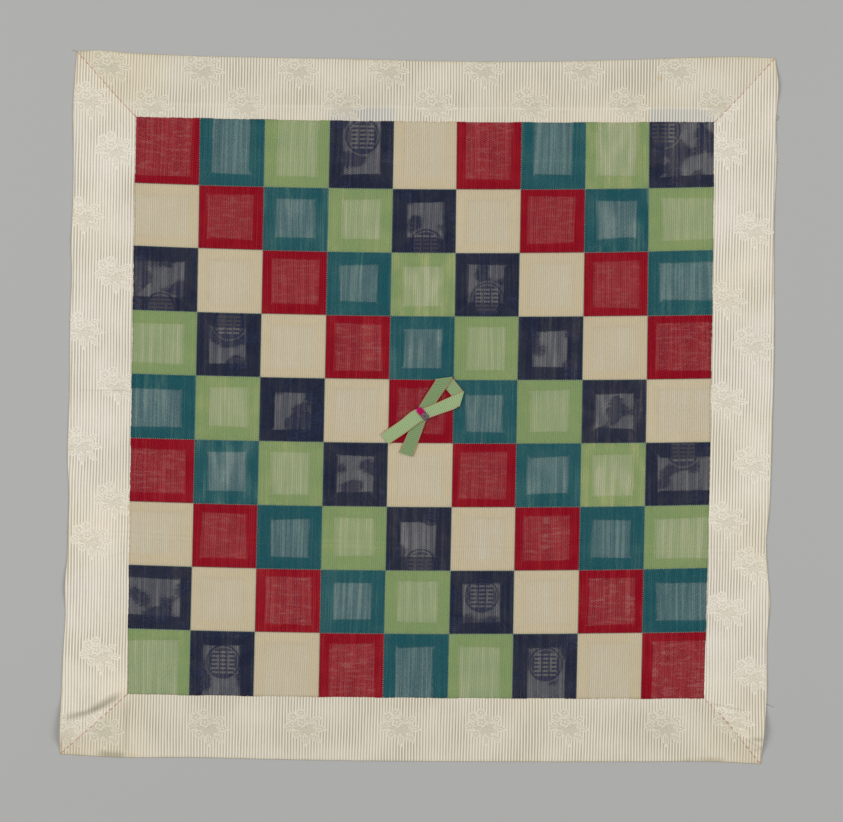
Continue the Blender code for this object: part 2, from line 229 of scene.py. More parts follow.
# Short folds that show on the border, in order round it from the top left corner.
WRINKLES = (
    Wrinkle((-290.0, 279.0), (-272.0, 253.0), 0.5, 2.0),
    Wrinkle((205.0, 262.0), (252.0, 263.0), -0.3, 1.6),
    Wrinkle((262.0, -264.0), (299.0, -270.0), 0.9, 3.0),
    Wrinkle((264.0, -272.0), (300.0, -284.0), -0.8, 4.0),
    Wrinkle((294.0, -289.0), (307.0, -296.0), 0.9, 2.4),
    Wrinkle((292.0, -296.0), (306.0, -304.0), -0.6, 2.0),
    Wrinkle((-311.0, -273.0), (-290.0, -272.0), 1.6, 5.0),
    Wrinkle((-290.0, -272.0), (-262.0, -257.0), 1.4, 5.0),
    Wrinkle((-306.0, -281.0), (-268.0, -269.0), -1.0, 4.0),
    Wrinkle((-259.0, -286.0), (-258.0, -313.0), -0.9, 4.0),
    Wrinkle((-272.0, -101.0), (-256.0, -99.0), 0.5, 1.8),
    Wrinkle((-277.0, -137.0), (-257.0, -130.0), 0.5, 2.0),
    Wrinkle((-309.0, 11.2), (-273.0, 10.4), 0.3, 1.4),
    Wrinkle((-273.0, 10.4), (-254.0, 9.9), -0.7, 1.3),
)

# Painted shade along the border's folds: where the silk is drawn darker, with depth in place of height.
SHADES = (
    Wrinkle((-309.0, -279.5), (-290.0, -275.5), 0.6, 4.2),
    Wrinkle((-290.0, -275.0), (-262.0, -258.5), 0.8, 6.0),
    Wrinkle((-255.0, -262.0), (-255.5, -313.0), 0.4, 4.0),
    Wrinkle((-279.0, -311.0), (-256.0, -312.6), 0.9, 5.0),
    Wrinkle((257.0, -257.6), (297.0, -266.0), 0.4, 1.2),
    Wrinkle((299.0, -290.0), (308.0, -290.0), 0.6, 2.8),
    Wrinkle((301.0, -300.0), (309.0, -297.0), 0.5, 1.4),
    Wrinkle((250.0, -309.0), (275.0, -309.5), 0.5, 5.0),
    Wrinkle((-273.0, 10.6), (-254.0, 10.1), 0.8, 0.9),
    Wrinkle((-308.0, 11.4), (-273.0, 10.6), 0.2, 0.9),
)

# Where the woven sprigs of the border stand.
SPRIGS = (
    (-237.5, 263.4), (-156.0, 264.6), (-69.2, 265.8), (12.3, 266.9), (97.4, 268.1), (183.3, 269.3),
    (263.1, 270.4), (-193.7, 296.0), (-109.5, 297.1), (-29.8, 298.3), (54.4, 299.4), (143.0, 300.7),
    (227.1, 301.8), (-181.2, -286.1), (-95.2, -284.9), (-11.1, -283.7), (64.2, -282.6), (137.8, -281.6),
    (223.7, -280.4), (-270.7, 224.0), (-298.2, 166.1), (-269.1, 113.3), (-296.8, 64.2), (-266.0, 15.8),
    (-297.1, -37.7), (-267.3, -86.1), (-287.2, -121.8), (-277.7, -223.6), (-293.4, 268.1), (270.7, 231.5),
    (295.6, 161.1), (272.6, 98.6), (297.0, 59.2), (273.8, 10.0), (298.5, -47.2), (275.3, -96.3),
    (299.7, -135.8), (276.4, -176.0), (301.1, -233.3), (-276.0, 298.4), (-274.0, -290.0), (-306.8, -291.3),
    (284.0, -275.0),
)

# The centre of the woven roundel in each dark square that shows one, from the middle of the square.
ROUNDELS = {
    (3, 0): (1.0, 15.7), (8, 0): (-16.0, 21.5), (4, 1): (2.0, -22.0), (0, 2): (-4.0, -27.0),
    (5, 2): (0.0, -12.8), (1, 3): (0.0, 20.0), (8, 5): (5.0, 22.0), (4, 6): (2.0, -24.0),
    (5, 7): (0.0, 6.0), (1, 8): (1.0, 1.5), (6, 8): (0.5, 1.6),
}

# How worn some squares are: bright upright streaks, or fewer than elsewhere.
WORN_SQUARES = {
    (4, 4): -0.5, (7, 4): 0.9, (1, 5): 0.9, (7, 5): 0.7, (7, 0): 0.7, (4, 2): 0.7, (7, 1): 0.8, (2, 1): 0.5,
    (4, 3): 0.5,
}

# Marks of age on the border: their place, how far they reach and how strong they are.
STAINS = (
    (243.0, -310.5, 7.0, 0.55), (262.0, -309.0, 6.0, 0.5), (270.0, -311.0, 5.0, 0.4),
    (209.0, 294.0, 5.0, 0.5), (125.0, 263.0, 4.5, 0.35), (298.0, 174.0, 4.0, 0.35),
    (-308.0, -41.0, 5.0, 0.45), (-250.0, -312.0, 5.0, 0.3),
)

# The flowers of a sprig by their middles and sizes, and its leaves by their middles and turns in degrees.
SPRIG_FLOWERS = ((-12.5, 9.0, 4.2), (-5.5, 12.5, 3.6), (-15.5, 0.5, 3.8), (-4.5, 4.5, 4.2), (-9.5, -6.0, 3.4))
SPRIG_LEAVES = (((7.5, 6.5), 28.0), ((11.5, -1.0), -10.0), ((8.0, -9.5), -46.0), ((-1.0, -11.5), -82.0))

# The two edges of the ribbon, from its lower tail round the loop to its left tail.
RUNGS = (
    Rung((-17.0, -40.4), (-4.9, -44.1), 0.0, 0),
    Rung((-9.0, -21.4), (2.0, -24.9), 0.0, 0),
    Rung((-1.7, -2.9), (8.0, -8.5), 0.0, 0),
    Rung((4.6, 8.2), (15.4, 4.3), 0.0, 0),
    Rung((7.4, 12.7), (18.9, 9.9), 0.45, 0),
    Rung((10.3, 17.4), (22.5, 15.1), 1.0, 0),
    Rung((14.3, 24.0), (29.2, 26.1), 1.0, -1),
    Rung((23.7, 15.8), (31.4, 23.8), 0.0, 0),
    Rung((28.4, 10.3), (36.4, 17.7), 0.0, 0),
    Rung((35.0, 1.0), (38.8, 14.7), 0.0, 1),
    Rung((32.4, -0.9), (28.1, 9.8), 1.0, 0),
    Rung((20.0, -5.6), (14.9, 3.7), 1.0, 0),
    Rung((8.3, -10.0), (4.0, -0.6), 1.0, 0),
    Rung((3.7, -12.0), (-2.3, -1.9), 1.0, 0),
    Rung((-10.8, -22.7), (-16.8, -12.5), 1.0, 0),
    Rung((-17.4, -27.3), (-23.7, -17.4), 0.4, 0),
    Rung((-26.5, -33.4), (-33.3, -24.3), 0.0, 0),
)

# The turns of the pale thread on the tack: how far along it and how far across.
FLOSS_LOOP = (
    (0.2, 0.9), (0.9, -1.5), (2.7, -1.9), (4.6, -1.4), (4.9, 0.4), (4.2, 1.8), (2.2, 1.7), (1.5, 0.2),
)

# Short thread ends at the edge of the cloth.
LOOSE_THREADS = (
    ((309.6, -257.6, 1.3), (313.4, -259.6, 0.5), (318.3, -261.4, 0.3)),
    ((-306.0, 309.5, 1.4), (-309.0, 311.5, 0.6), (-312.0, 311.0, 0.3)),
    ((312.6, 258.0, 1.2), (315.2, 260.5, 0.4), (313.5, 262.6, 0.3), (311.8, 261.0, 1.3)),
)


def blend(a, b, share: float):
    """The value at a share of the way from a to b."""
    return a + (b - a) * share


def ease(value: float, low: float, high: float) -> float:
    """How far a value has come from low to high, which may be below it: from 0 to 1, with soft ends."""
    share = min(1.0, max(0.0, (value - low) / (high - low)))
    return share * share * (3 - 2 * share)


def ripple(x: float, y: float, length: float, seed: float = 0.0) -> float:
    """Soft unevenness between about -1 and 1, with hills a length apart; each seed gives other hills."""
    return noise.noise(Vector((x / length + 13.7 * seed, y / length - 7.1 * seed, seed)))


def hump(off: float) -> float:
    """The height of a soft ridge at a share of its half width, from 1 on its crest to 0 at its foot."""
    return math.cos(off * math.pi / 2) ** 2


def linear(red: float, green: float, blue: float) -> tuple[float, float, float, float]:
    """A screen colour of three numbers up to 255, as the shaders take it.

    Args:
        red: the red part.
        green: the green part.
        blue: the blue part.

    Returns:
        The linear colour with an alpha of 1.
    """
    shares = [value / 255 for value in (red, green, blue)]
    parts = [s / 12.92 if s <= 0.04045 else ((s + 0.055) / 1.055) ** 2.4 for s in shares]
    return (parts[0], parts[1], parts[2], 1.0)


class SmoothLine:
    """A smooth curve through values that stand at rising knots."""

    def __init__(self, knots: Sequence[float], values: Sequence) -> None:
        """Keeps the knots and works out the slope at each.

        Args:
            knots: where the values stand, rising.
            values: a number or a vector for each knot.
        """
        self.knots = list(knots)
        self.values = list(values)
        steps = [b - a for a, b in zip(self.knots, self.knots[1:])]
        slopes = [(b - a) / h for a, b, h in zip(self.values, self.values[1:], steps)]
        inner = [
            (before * ahead_step + after * back_step) / (back_step + ahead_step)
            for before, after, back_step, ahead_step in zip(slopes, slopes[1:], steps, steps[1:])
        ]
        self.slopes = [slopes[0], *inner, slopes[-1]]

    def at(self, place: float):
        """The value at a place between the first knot and the last.

        Args:
            place: the place.

        Returns:
            The value there.
        """
        index = min(max(bisect_right(self.knots, place) - 1, 0), len(self.knots) - 2)
        step = self.knots[index + 1] - self.knots[index]
        t = min(1.0, max(0.0, (place - self.knots[index]) / step))
        start = self.values[index] * (1 + 2 * t) + self.slopes[index] * (step * t)
        end = self.values[index + 1] * (3 - 2 * t) + self.slopes[index + 1] * (step * (t - 1))
        return start * ((1 - t) * (1 - t)) + end * (t * t)


@dataclass(frozen=True)
class ClothPlan:
    """Where everything lies on the cloth, as its solids have it."""

    squares: int = 9
    columns: tuple[Seam, ...] = COLUMN_SEAMS
    rows: tuple[Seam, ...] = ROW_SEAMS
    edges: dict[Side, SmoothLine] = field(
        default_factory=lambda: {side: SmoothLine(*zip(*points)) for side, points in EDGES.items()}
    )
    gauze_top: float = 1.0
    hem_rise: float = 0.25

    @property
    def square(self) -> float:
        """The mean side of a square."""
        return (self.columns[-1].middle - self.columns[0].middle) / self.squares

    def silk(self, column: int, row: int) -> Silk:
        """The gauze of a square, counted from the top left corner."""
        return SILKS[(column - row) % len(SILKS)]

    def seam_at(self, seam: Seam, place: float) -> float:
        """A seam's place at a number of squares along it: a parabola through its three known places.

        Args:
            seam: the seam.
            place: how many squares along it.

        Returns:
            Its place.
        """
        near, middle, far = 0.5, self.squares / 2, self.squares - 0.5
        first = seam.first * (place - middle) * (place - far) / ((near - middle) * (near - far))
        second = seam.middle * (place - near) * (place - far) / ((middle - near) * (middle - far))
        third = seam.last * (place - near) * (place - middle) / ((far - near) * (far - middle))
        return first + second + third

    def seams_at(self, seams: Sequence[Seam], index: float, place: float) -> float:
        """The place of a line that lies a fractional number of squares across a set of seams."""
        low = max(0, min(int(index), self.squares - 1))
        return blend(self.seam_at(seams[low], place), self.seam_at(seams[low + 1], place), index - low)

    def point(self, column: float, row: float) -> tuple[float, float]:
        """x and y of a point of the patchwork, counted in squares from its top left corner."""
        return self.seams_at(self.columns, column, row), self.seams_at(self.rows, row, column)

    def crease_lift(self, x: float, y: float) -> float:
        """How high the long creases raise the cloth, as soft ridges.

        Args:
            x: place to the right.
            y: place upwards.

        Returns:
            The height in millimetres.
        """
        lift = 0.0
        for crease in CREASES:
            bend = ((crease.left + crease.right) / 2 - crease.centre) / CREASE_ENDS**2
            middle = crease.centre + (crease.right - crease.left) / (2 * CREASE_ENDS) * x + bend * x * x
            for ridge in crease.ridges:
                off = abs(y - middle - ridge) / crease.half_width
                if off < 1:
                    height = crease.height * (0.8 + 0.35 * ripple(x, y, 40.0, 3.0))
                    lift = max(lift, height * hump(off))
        return lift

    def arch_lift(self, x: float, y: float) -> float:
        """How high the arched edges raise the cloth.

        Args:
            x: place to the right.
            y: place upwards.

        Returns:
            The height in millimetres.
        """
        lift = 0.0
        for arch in ARCHES:
            off = abs(y - arch.peak) / (arch.up if y > arch.peak else arch.down)
            if off >= 1:
                continue
            fade = 1 - abs(x - self.edges[arch.side].at(y)) / arch.depth
            if fade > 0:
                lift = max(lift, arch.height * hump(off) * fade * fade)
        return lift

    def lift(self, x: float, y: float) -> float:
        """Height of the cloth's underside above the surface."""
        return max(self.crease_lift(x, y), self.arch_lift(x, y))

    def strokes(self, folds: Sequence[Wrinkle], x: float, y: float) -> float:
        """How much short folds raise or sink the border at a point, or how much painted shade they lay on it.

        Args:
            folds: the folds.
            x: place to the right.
            y: place upwards.

        Returns:
            The sum over the folds.
        """
        total = 0.0
        for fold in folds:
            start, end = Vector(fold.start), Vector(fold.end)
            line = end - start
            along = (Vector((x, y)) - start).dot(line) / line.length_squared
            reach = fold.half_width / line.length
            if -reach < along < 1 + reach:
                off = abs(line.x * (y - start.y) - line.y * (x - start.x)) / line.length / fold.half_width
                if off < 1:
                    ends = ease(along, -reach, 0.25) * ease(along, 1 + reach, 0.75)
                    total += fold.height * hump(off) * ends
        return total


class Signal:
    """A value, vector or colour that a node puts out, with which sums can be written."""

    def __init__(self, wires: "Wires", socket: bpy.types.NodeSocket) -> None:
        """Keeps the tree's wires and the socket that the value comes out of."""
        self.wires = wires
        self.socket = socket

    def __add__(self, other: "Signal | float") -> "Signal":
        """The sum of two values."""
        return self.wires.maths("ADD", self, other)

    def __sub__(self, other: "Signal | float") -> "Signal":
        """The difference of two values."""
        return self.wires.maths("SUBTRACT", self, other)

    def __mul__(self, other: "Signal | float") -> "Signal":
        """The product of two values."""
        return self.wires.maths("MULTIPLY", self, other)

    def __truediv__(self, other: "Signal | float") -> "Signal":
        """One value over another."""
        return self.wires.maths("DIVIDE", self, other)

    def __rsub__(self, other: float) -> "Signal":
        """A number less a value."""
        return self.wires.maths("SUBTRACT", other, self)

    def __abs__(self) -> "Signal":
        """A value without its sign."""
        return self.wires.maths("ABSOLUTE", self)

    __radd__ = __add__
    __rmul__ = __mul__


class Wires:
    """Adds nodes to one node tree and joins them up."""

    def __init__(self, tree: bpy.types.NodeTree) -> None:
        """Starts on a tree."""
        self.tree = tree
        self.placed = 0

    def node(self, kind: str, **settings: object) -> bpy.types.Node:
        """Adds a node.

        Args:
            kind: the node's type name.
            settings: its own settings.

        Returns:
            The node.
        """
        made = self.tree.nodes.new(kind)
        column, row = divmod(self.placed, NODE_ROWS)
        made.location = (NODE_STEP[0] * column, -NODE_STEP[1] * row)
        self.placed += 1
        for name, value in settings.items():
            setattr(made, name, value)
        return made

    def feed(self, socket: bpy.types.NodeSocket, value: object) -> None:
        """Joins a signal to a socket, or sets the socket to a plain value.

        Args:
            socket: the socket.
            value: the signal or the plain value.
        """
        if isinstance(value, Signal):
            self.tree.links.new(value.socket, socket)
        else:
            socket.default_value = value

    def through(self, kind: str, fed: dict, output: int | str = 0, **settings: object) -> Signal:
        """Adds a node, and gives back what comes out of it.

        Args:
            kind: the node's type name.
            fed: what goes into its inputs, by their names or numbers.
            output: the name or number of the output.
            settings: the node's own settings.

        Returns:
            The value that comes out.
        """
        made = self.node(kind, **settings)
        for title, value in fed.items():
            self.feed(made.inputs[title], value)
        return Signal(self, made.outputs[output])

    def maths(self, operation: str, *values: "Signal | float") -> Signal:
        """A sum of one, two or three values."""
        return self.through("ShaderNodeMath", dict(enumerate(values)), operation=operation)

    def larger(self, first: Signal, second: Signal) -> Signal:
        """The larger of two values."""
        return self.maths("MAXIMUM", first, second)

    def rise(self, value: Signal, low: float, high: float) -> Signal:
        """0 below one value and 1 above another, with a soft step between, also where high is below low."""
        steps = dict(enumerate((value, low, high, 0.0, 1.0)))
        return self.through("ShaderNodeMapRange", steps, interpolation_type="SMOOTHSTEP")

    def saw(self, value: Signal) -> Signal:
        """The share of the way from one whole number to the next, less a half."""
        return self.maths("FRACT", value) - 0.5

    def mixed(self, share: "Signal | float", first: object, second: object) -> Signal:
        """A colour between two colours."""
        return self.through("ShaderNodeMix", {0: share, 6: first, 7: second}, 2, data_type="RGBA")

    def uneven(self, place: Signal, scale: float, detail: float = 2.0, roughness: float = 0.5) -> Signal:
        """Noise between 0 and 1 over a place."""
        settings = {"Vector": place, "Scale": scale, "Detail": detail, "Roughness": roughness}
        return self.through("ShaderNodeTexNoise", settings, noise_dimensions="2D")

    def chance(self, place: Signal) -> Signal:
        """Another number from 0 to 1 for every place."""
        return self.through("ShaderNodeTexWhiteNoise", {"Vector": place}, "Value", noise_dimensions="2D")

    def stretched(self, place: Signal, x: float, y: float) -> Signal:
        """A place with its two parts multiplied."""
        return self.through("ShaderNodeVectorMath", {0: place, 1: (x, y, 1.0)}, operation="MULTIPLY")

    def within(self, place: Signal, centre: tuple[float, float], turn: float,
               size: tuple[float, float]) -> Signal:
        """A place seen from a figure that has its own centre, turn in degrees and size."""
        own = {"Location": (*centre, 0.0), "Rotation": (0.0, 0.0, math.radians(turn)), "Scale": (*size, 1.0)}
        return self.through("ShaderNodeMapping", {"Vector": place} | own, vector_type="TEXTURE")

    def parts(self, place: Signal) -> tuple[Signal, Signal, Signal]:
        """The three parts of a vector."""
        first = self.through("ShaderNodeSeparateXYZ", {0: place})
        return tuple(Signal(self, socket) for socket in first.socket.node.outputs)

    def joined(self, x: "Signal | float", y: "Signal | float") -> Signal:
        """A vector of two values."""
        return self.through("ShaderNodeCombineXYZ", {0: x, 1: y})

    def length(self, place: Signal) -> Signal:
        """How long a vector is."""
        return self.through("ShaderNodeVectorMath", {0: place}, "Value", operation="LENGTH")

    def uv(self, name: str) -> Signal:
        """A piece's own UV map."""
        return self.through("ShaderNodeUVMap", {}, uv_map=name)

    def on_piece(self) -> Signal:
        """Object coordinates."""
        return self.through("ShaderNodeTexCoord", {}, "Object")

    def worn(self, name: str = "wear") -> tuple[Signal, Signal, Signal]:
        """The three values that a piece's points carry in an attribute."""
        return self.parts(self.through("ShaderNodeAttribute", {}, "Vector", attribute_name=name))

    def group(self, tree: bpy.types.NodeTree, **values: object) -> list[Signal]:
        """Places a node group.

        Args:
            tree: the group.
            values: what goes into its inputs, by name.

        Returns:
            Its outputs in order.
        """
        made = self.node("ShaderNodeGroup", node_tree=tree)
        for name, value in values.items():
            self.feed(made.inputs[name], value)
        return [Signal(self, socket) for socket in made.outputs]


class Effect(NamedTuple):
    """A shader effect: its name, inputs with their usual values (None for a place), outputs and builder."""

    name: str
    inputs: dict[str, float | None]
    outputs: tuple[str, ...]
    build: Callable[..., Sequence[Signal]]


def make_group(effect: Effect) -> bpy.types.NodeTree:
    """Makes an effect's node group once.

    Args:
        effect: the effect.

    Returns:
        The group.
    """
    name, inputs, outputs, build = effect
    if name in bpy.data.node_groups:
        return bpy.data.node_groups[name]
    tree = bpy.data.node_groups.new(name, "ShaderNodeTree")
    for title, usual in inputs.items():
        kind = "NodeSocketVector" if usual is None else "NodeSocketFloat"
        socket = tree.interface.new_socket(title, in_out="INPUT", socket_type=kind)
        if usual is not None:
            socket.default_value = usual
    for title in outputs:
        tree.interface.new_socket(title, in_out="OUTPUT", socket_type="NodeSocketFloat")
    wires = Wires(tree)
    entry = wires.node("NodeGroupInput")
    made = build(wires, *[Signal(wires, entry.outputs[title]) for title in inputs])
    leave = wires.node("NodeGroupOutput")
    for title, signal in zip(outputs, made):
        wires.feed(leave.inputs[title], signal)
    return tree


def open_weave(wires: Wires, place: Signal, column: Signal, row: Signal) -> Sequence[Signal]:
    """Upright rows of small holes between crossing warps, every other row shifted by half a hole.

    Args:
        wires: the group's wires.
        place: place on the cloth, in metres.
        column: how far apart the rows of holes are, in metres.
        row: how far apart the holes of a row are, in metres.

    Returns:
        The holes, and the light streaks of the warp.
    """
    x, y, _ = wires.parts(place)
    across = x / column
    number = wires.maths("FLOOR", across)
    down = y / row + wires.maths("FLOORED_MODULO", number, 2.0) * 0.5
    luck = wires.chance(wires.joined(number, wires.maths("FLOOR", down)))
    off = wires.length(wires.joined(wires.saw(across) * 2.7, wires.saw(down) * 2.0))
    streak = wires.uneven(wires.stretched(place, 560.0, 9.0), 1.0, 1.0, 0.6)
    return wires.rise(off + luck * 0.14, 1.14, 0.62), wires.rise(streak, 0.4, 0.75)


def woven_figure(wires: Wires, place: Signal, patches: Signal) -> Sequence[Signal]:
    """A round fret with drifting clouds about it, woven more thickly than the ground.

    Args:
        wires: the group's wires.
        place: place from the middle of the fret, in millimetres.
        patches: where there are clouds.

    Returns:
        Where the figure is, and the pale bars of the fret.
    """
    x, y, _ = wires.parts(place)
    away = wires.length(place)
    beside, above = abs(x), abs(y)
    bars = wires.rise(abs(wires.saw(y / 3.6 + 0.13)), 0.32, 0.24)
    post = abs(beside - 4.8)
    uprights = wires.rise(post, 0.95, 0.6) * wires.rise(above, 6.6, 6.0)
    reach = wires.rise(beside, 10.6, 9.8) * wires.rise(above, 11.8, 11.2)
    pale = wires.larger(bars * wires.rise(abs(beside - 3.1), 0.3, 0.6), uprights) * reach
    rim = wires.rise(abs(away - 13.0), 1.0, 0.6) * wires.rise(y, -9.5, -7.5)
    fret = wires.rise(away, 15.3, 14.5) * (1.0 - wires.larger(pale, rim))
    drift = wires.uneven(wires.stretched(place, 0.06, 0.11), 1.0, 1.0, 0.45)
    curls = wires.rise(abs(wires.saw(drift * 8.0)), 0.15, 0.27)
    clouds = patches * (0.25 + curls * 0.75) * wires.rise(away, 15.5, 18.0)
    return wires.larger(fret, clouds), pale * wires.rise(away, 13.0, 12.4)


def blossom(wires: Wires, place: Signal, x: float, y: float, radius: float) -> tuple[Signal, Signal]:
    """A five-petalled blossom.

    Args:
        wires: the group's wires.
        place: place from the middle of the spray, in millimetres.
        x: its middle to the right.
        y: its middle upwards.
        radius: its size.

    Returns:
        Its outline with its eye, and the ground that it covers.
    """
    local = wires.within(place, (x, y), 17.0 * x, (radius, radius))
    right, up, _ = wires.parts(local)
    away = wires.length(local)
    petals = abs(wires.maths("COSINE", wires.maths("ARCTAN2", up, right) * 2.5)) * 0.32 + 0.7
    outline = wires.rise(abs(away - petals), 0.26, 0.1)
    return wires.larger(outline, wires.rise(away, 0.34, 0.2)), away - 0.25


def leaf(wires: Wires, place: Signal, centre: tuple[float, float], turn: float) -> tuple[Signal, Signal]:
    """A pointed leaf with a midrib, about eleven millimetres long.

    Args:
        wires: the group's wires.
        place: place from the middle of the spray, in millimetres.
        centre: its middle.
        turn: which way it points, in degrees.

    Returns:
        Its outline with its midrib, and the ground that it covers.
    """
    right, up, _ = wires.parts(wires.within(place, centre, turn, (6.2, 2.5)))
    side = abs(up)
    shape = side + right * right
    outline = wires.rise(abs(shape - 0.9), 0.26, 0.1)
    rib = wires.rise(side, 0.24, 0.08) * wires.rise(shape, 1.0, 0.85)
    return wires.larger(outline, rib), shape - 0.2


def sprig_figure(wires: Wires, place: Signal) -> Sequence[Signal]:
    """A spray of blossoms with four leaves, in outline on a ground without stripes.

    Args:
        wires: the group's wires.
        place: place from the middle of the spray, in millimetres.

    Returns:
        The outlines, where the ground has no stripes, and the mottling of the silk there.
    """
    shapes = [blossom(wires, place, *flower) for flower in SPRIG_FLOWERS]
    shapes += [leaf(wires, place, centre, turn) for centre, turn in SPRIG_LEAVES]
    figure, cover = shapes[0]
    for lines, ground in shapes[1:]:
        figure = wires.larger(figure, lines)
        cover = wires.maths("SMOOTH_MIN", cover, ground, 0.7)
    heart = wires.length(wires.within(place, (-3.0, 1.0), -40.0, (15.0, 10.5)))
    cover = wires.maths("SMOOTH_MIN", cover, heart, 0.5)
    mottle = wires.uneven(place, 0.8, 2.0, 0.7)
    spots = wires.rise(mottle, 0.36, 0.62)
    return figure * (1.0 - spots * 0.7), wires.rise(cover + mottle * 0.8, 1.55, 1.0), spots


def silk_stripe(wires: Wires, place: Signal, pitch: Signal) -> Sequence[Signal]:
    """Fine upright lines in damask weave, here and there fainter.

    Args:
        wires: the group's wires.
        place: place on the strip as it was cut, in millimetres.
        pitch: how far apart the lines are, in millimetres.

    Returns:
        The lines, the unevenness from line to line and the slubs across them.
    """
    x, y, _ = wires.parts(place)
    line = wires.rise(abs(wires.saw(x / pitch)), 0.36, 0.14)
    uneven = wires.uneven(wires.stretched(place, 0.8, 0.05), 1.0, 2.0, 0.6)
    slub = wires.uneven(wires.stretched(place, 0.09, 1.3), 1.0, 2.0, 0.65)
    return line, uneven, slub


def thread_twist(wires: Wires, place: Signal, turns: Signal) -> Sequence[Signal]:
    """Slanting shine of twisted or combed threads.

    Args:
        wires: the group's wires.
        place: share of the way round the thread, and millimetres along it.
        turns: turns to the millimetre.

    Returns:
        The height of the strands and their light and dark streaks.
    """
    around, along, _ = wires.parts(place)
    strands = abs(wires.saw(around * 2.0 + along * turns)) * 2.0
    streak = wires.uneven(wires.stretched(place, 14.0, 0.5), 1.0, 2.0, 0.6)
    return strands, streak


WEAVE = Effect("open weave", {"Place": None, "Column": 0.0019, "Row": 0.0016}, ("Hole", "Streak"), open_weave)
FIGURE = Effect("woven figure", {"Place": None, "Patches": 0.0}, ("Figure", "Bars"), woven_figure)
SPRIG = Effect("sprig", {"Place": None}, ("Figure", "Ground", "Mottle"), sprig_figure)
STRIPE = Effect("silk stripe", {"Place": None, "Pitch": 2.6}, ("Line", "Uneven", "Slub"), silk_stripe)
TWIST = Effect("thread twist", {"Place": None, "Turns": 0.9}, ("Strands", "Streak"), thread_twist)


@dataclass(frozen=True)
class Finish:
    """What every finish of the cloth has: its name, roughness, sheen and gloss."""

    name: str
    roughness: float = 0.7
    sheen: float = 0.0
    sheen_roughness: float = 0.4
    gloss: float = 0.1

    def start(self) -> tuple[bpy.types.Material, Wires, bpy.types.Node]:
        """Makes the material with its Principled shader.

        Returns:
            The material, its wires and the shader.
        """
        material = bpy.data.materials.new(self.name)
        material.use_nodes = True
        tree = material.node_tree
        shader = tree.nodes["Principled BSDF"]
        settings = {"Roughness": self.roughness, "Specular IOR Level": self.gloss, "Sheen Weight": self.sheen,
                    "Sheen Roughness": self.sheen_roughness}
        for title, value in settings.items():
            shader.inputs[title].default_value = value
        shader.location = SHADER_PLACE
        tree.nodes["Material Output"].location = OUTPUT_PLACE
        return material, Wires(tree), shader

    def relief(self, wires: Wires, shader: bpy.types.Node, height: Signal, depth: float,
               share: float) -> None:
        """Feeds a height through a bump into the shader.

        Args:
            wires: the material's wires.
            shader: its Principled shader.
            height: the height, from 0 to 1.
            depth: how high 1 is, in metres.
            share: how strongly it shows.
        """
        bump = wires.through("ShaderNodeBump", {"Strength": share, "Distance": depth, "Height": height})
        wires.feed(shader.inputs["Normal"], bump)


@dataclass(frozen=True)
class GauzeFinish(Finish):
    """Sheer gauze: its thread and paler streaks, how open it is, its woven figure and its middle, paler from
    wear and painted light.
    """

    thread: Colour = (128, 128, 128)
    streak: Colour = (160, 160, 160)
    openness: float = 0.4
    holes: float = 0.5
    figure: float = 0.0
    # How much paler the middle is drawn: worn streaks, with painted light that stands for the pale floor seen
    # through the single layer.
    middle: float = 0.15
    drift: float = 0.0
    column: float = 0.0019
    row: float = 0.0016

    def make(self) -> bpy.types.Material:
        """Makes the material.

        Returns:
            The material.
        """
        material, wires, shader = self.start()
        place = wires.uv("weave")
        hole, streak = wires.group(make_group(WEAVE), Place=place, Column=self.column, Row=self.row)
        tone, worn, patches = wires.worn()
        # tone is random tone with a painted highlight along the creases; worn is the worn streaks with
        # painted light that makes the single layer paler than its hems.
        pale = streak * (0.25 + worn * 0.8) + worn * self.middle + tone * 0.2
        clear = self.openness * (0.85 + streak * 0.25 + worn * 0.2) + hole * (self.holes + worn * 0.1)
        if self.drift:
            clouds = wires.uneven(wires.stretched(wires.uv("weave"), 70.0, 420.0), 1.0, 2.0)
            cloud = wires.rise(clouds, 0.5, 0.66) * worn * self.drift
            pale, clear = pale + cloud, clear + cloud * 0.3
        if self.figure:
            shape, bars = wires.group(make_group(FIGURE), Place=wires.uv("figure"), Patches=patches)
            pale, clear = pale + bars * 0.7, clear * (1.0 - shape * self.figure)
        wires.feed(shader.inputs["Base Color"], wires.mixed(pale, linear(*self.thread), linear(*self.streak)))
        wires.feed(shader.inputs["Alpha"], 1.0 - clear)
        wires.feed(shader.inputs["Roughness"], self.roughness - streak * 0.12)
        return material


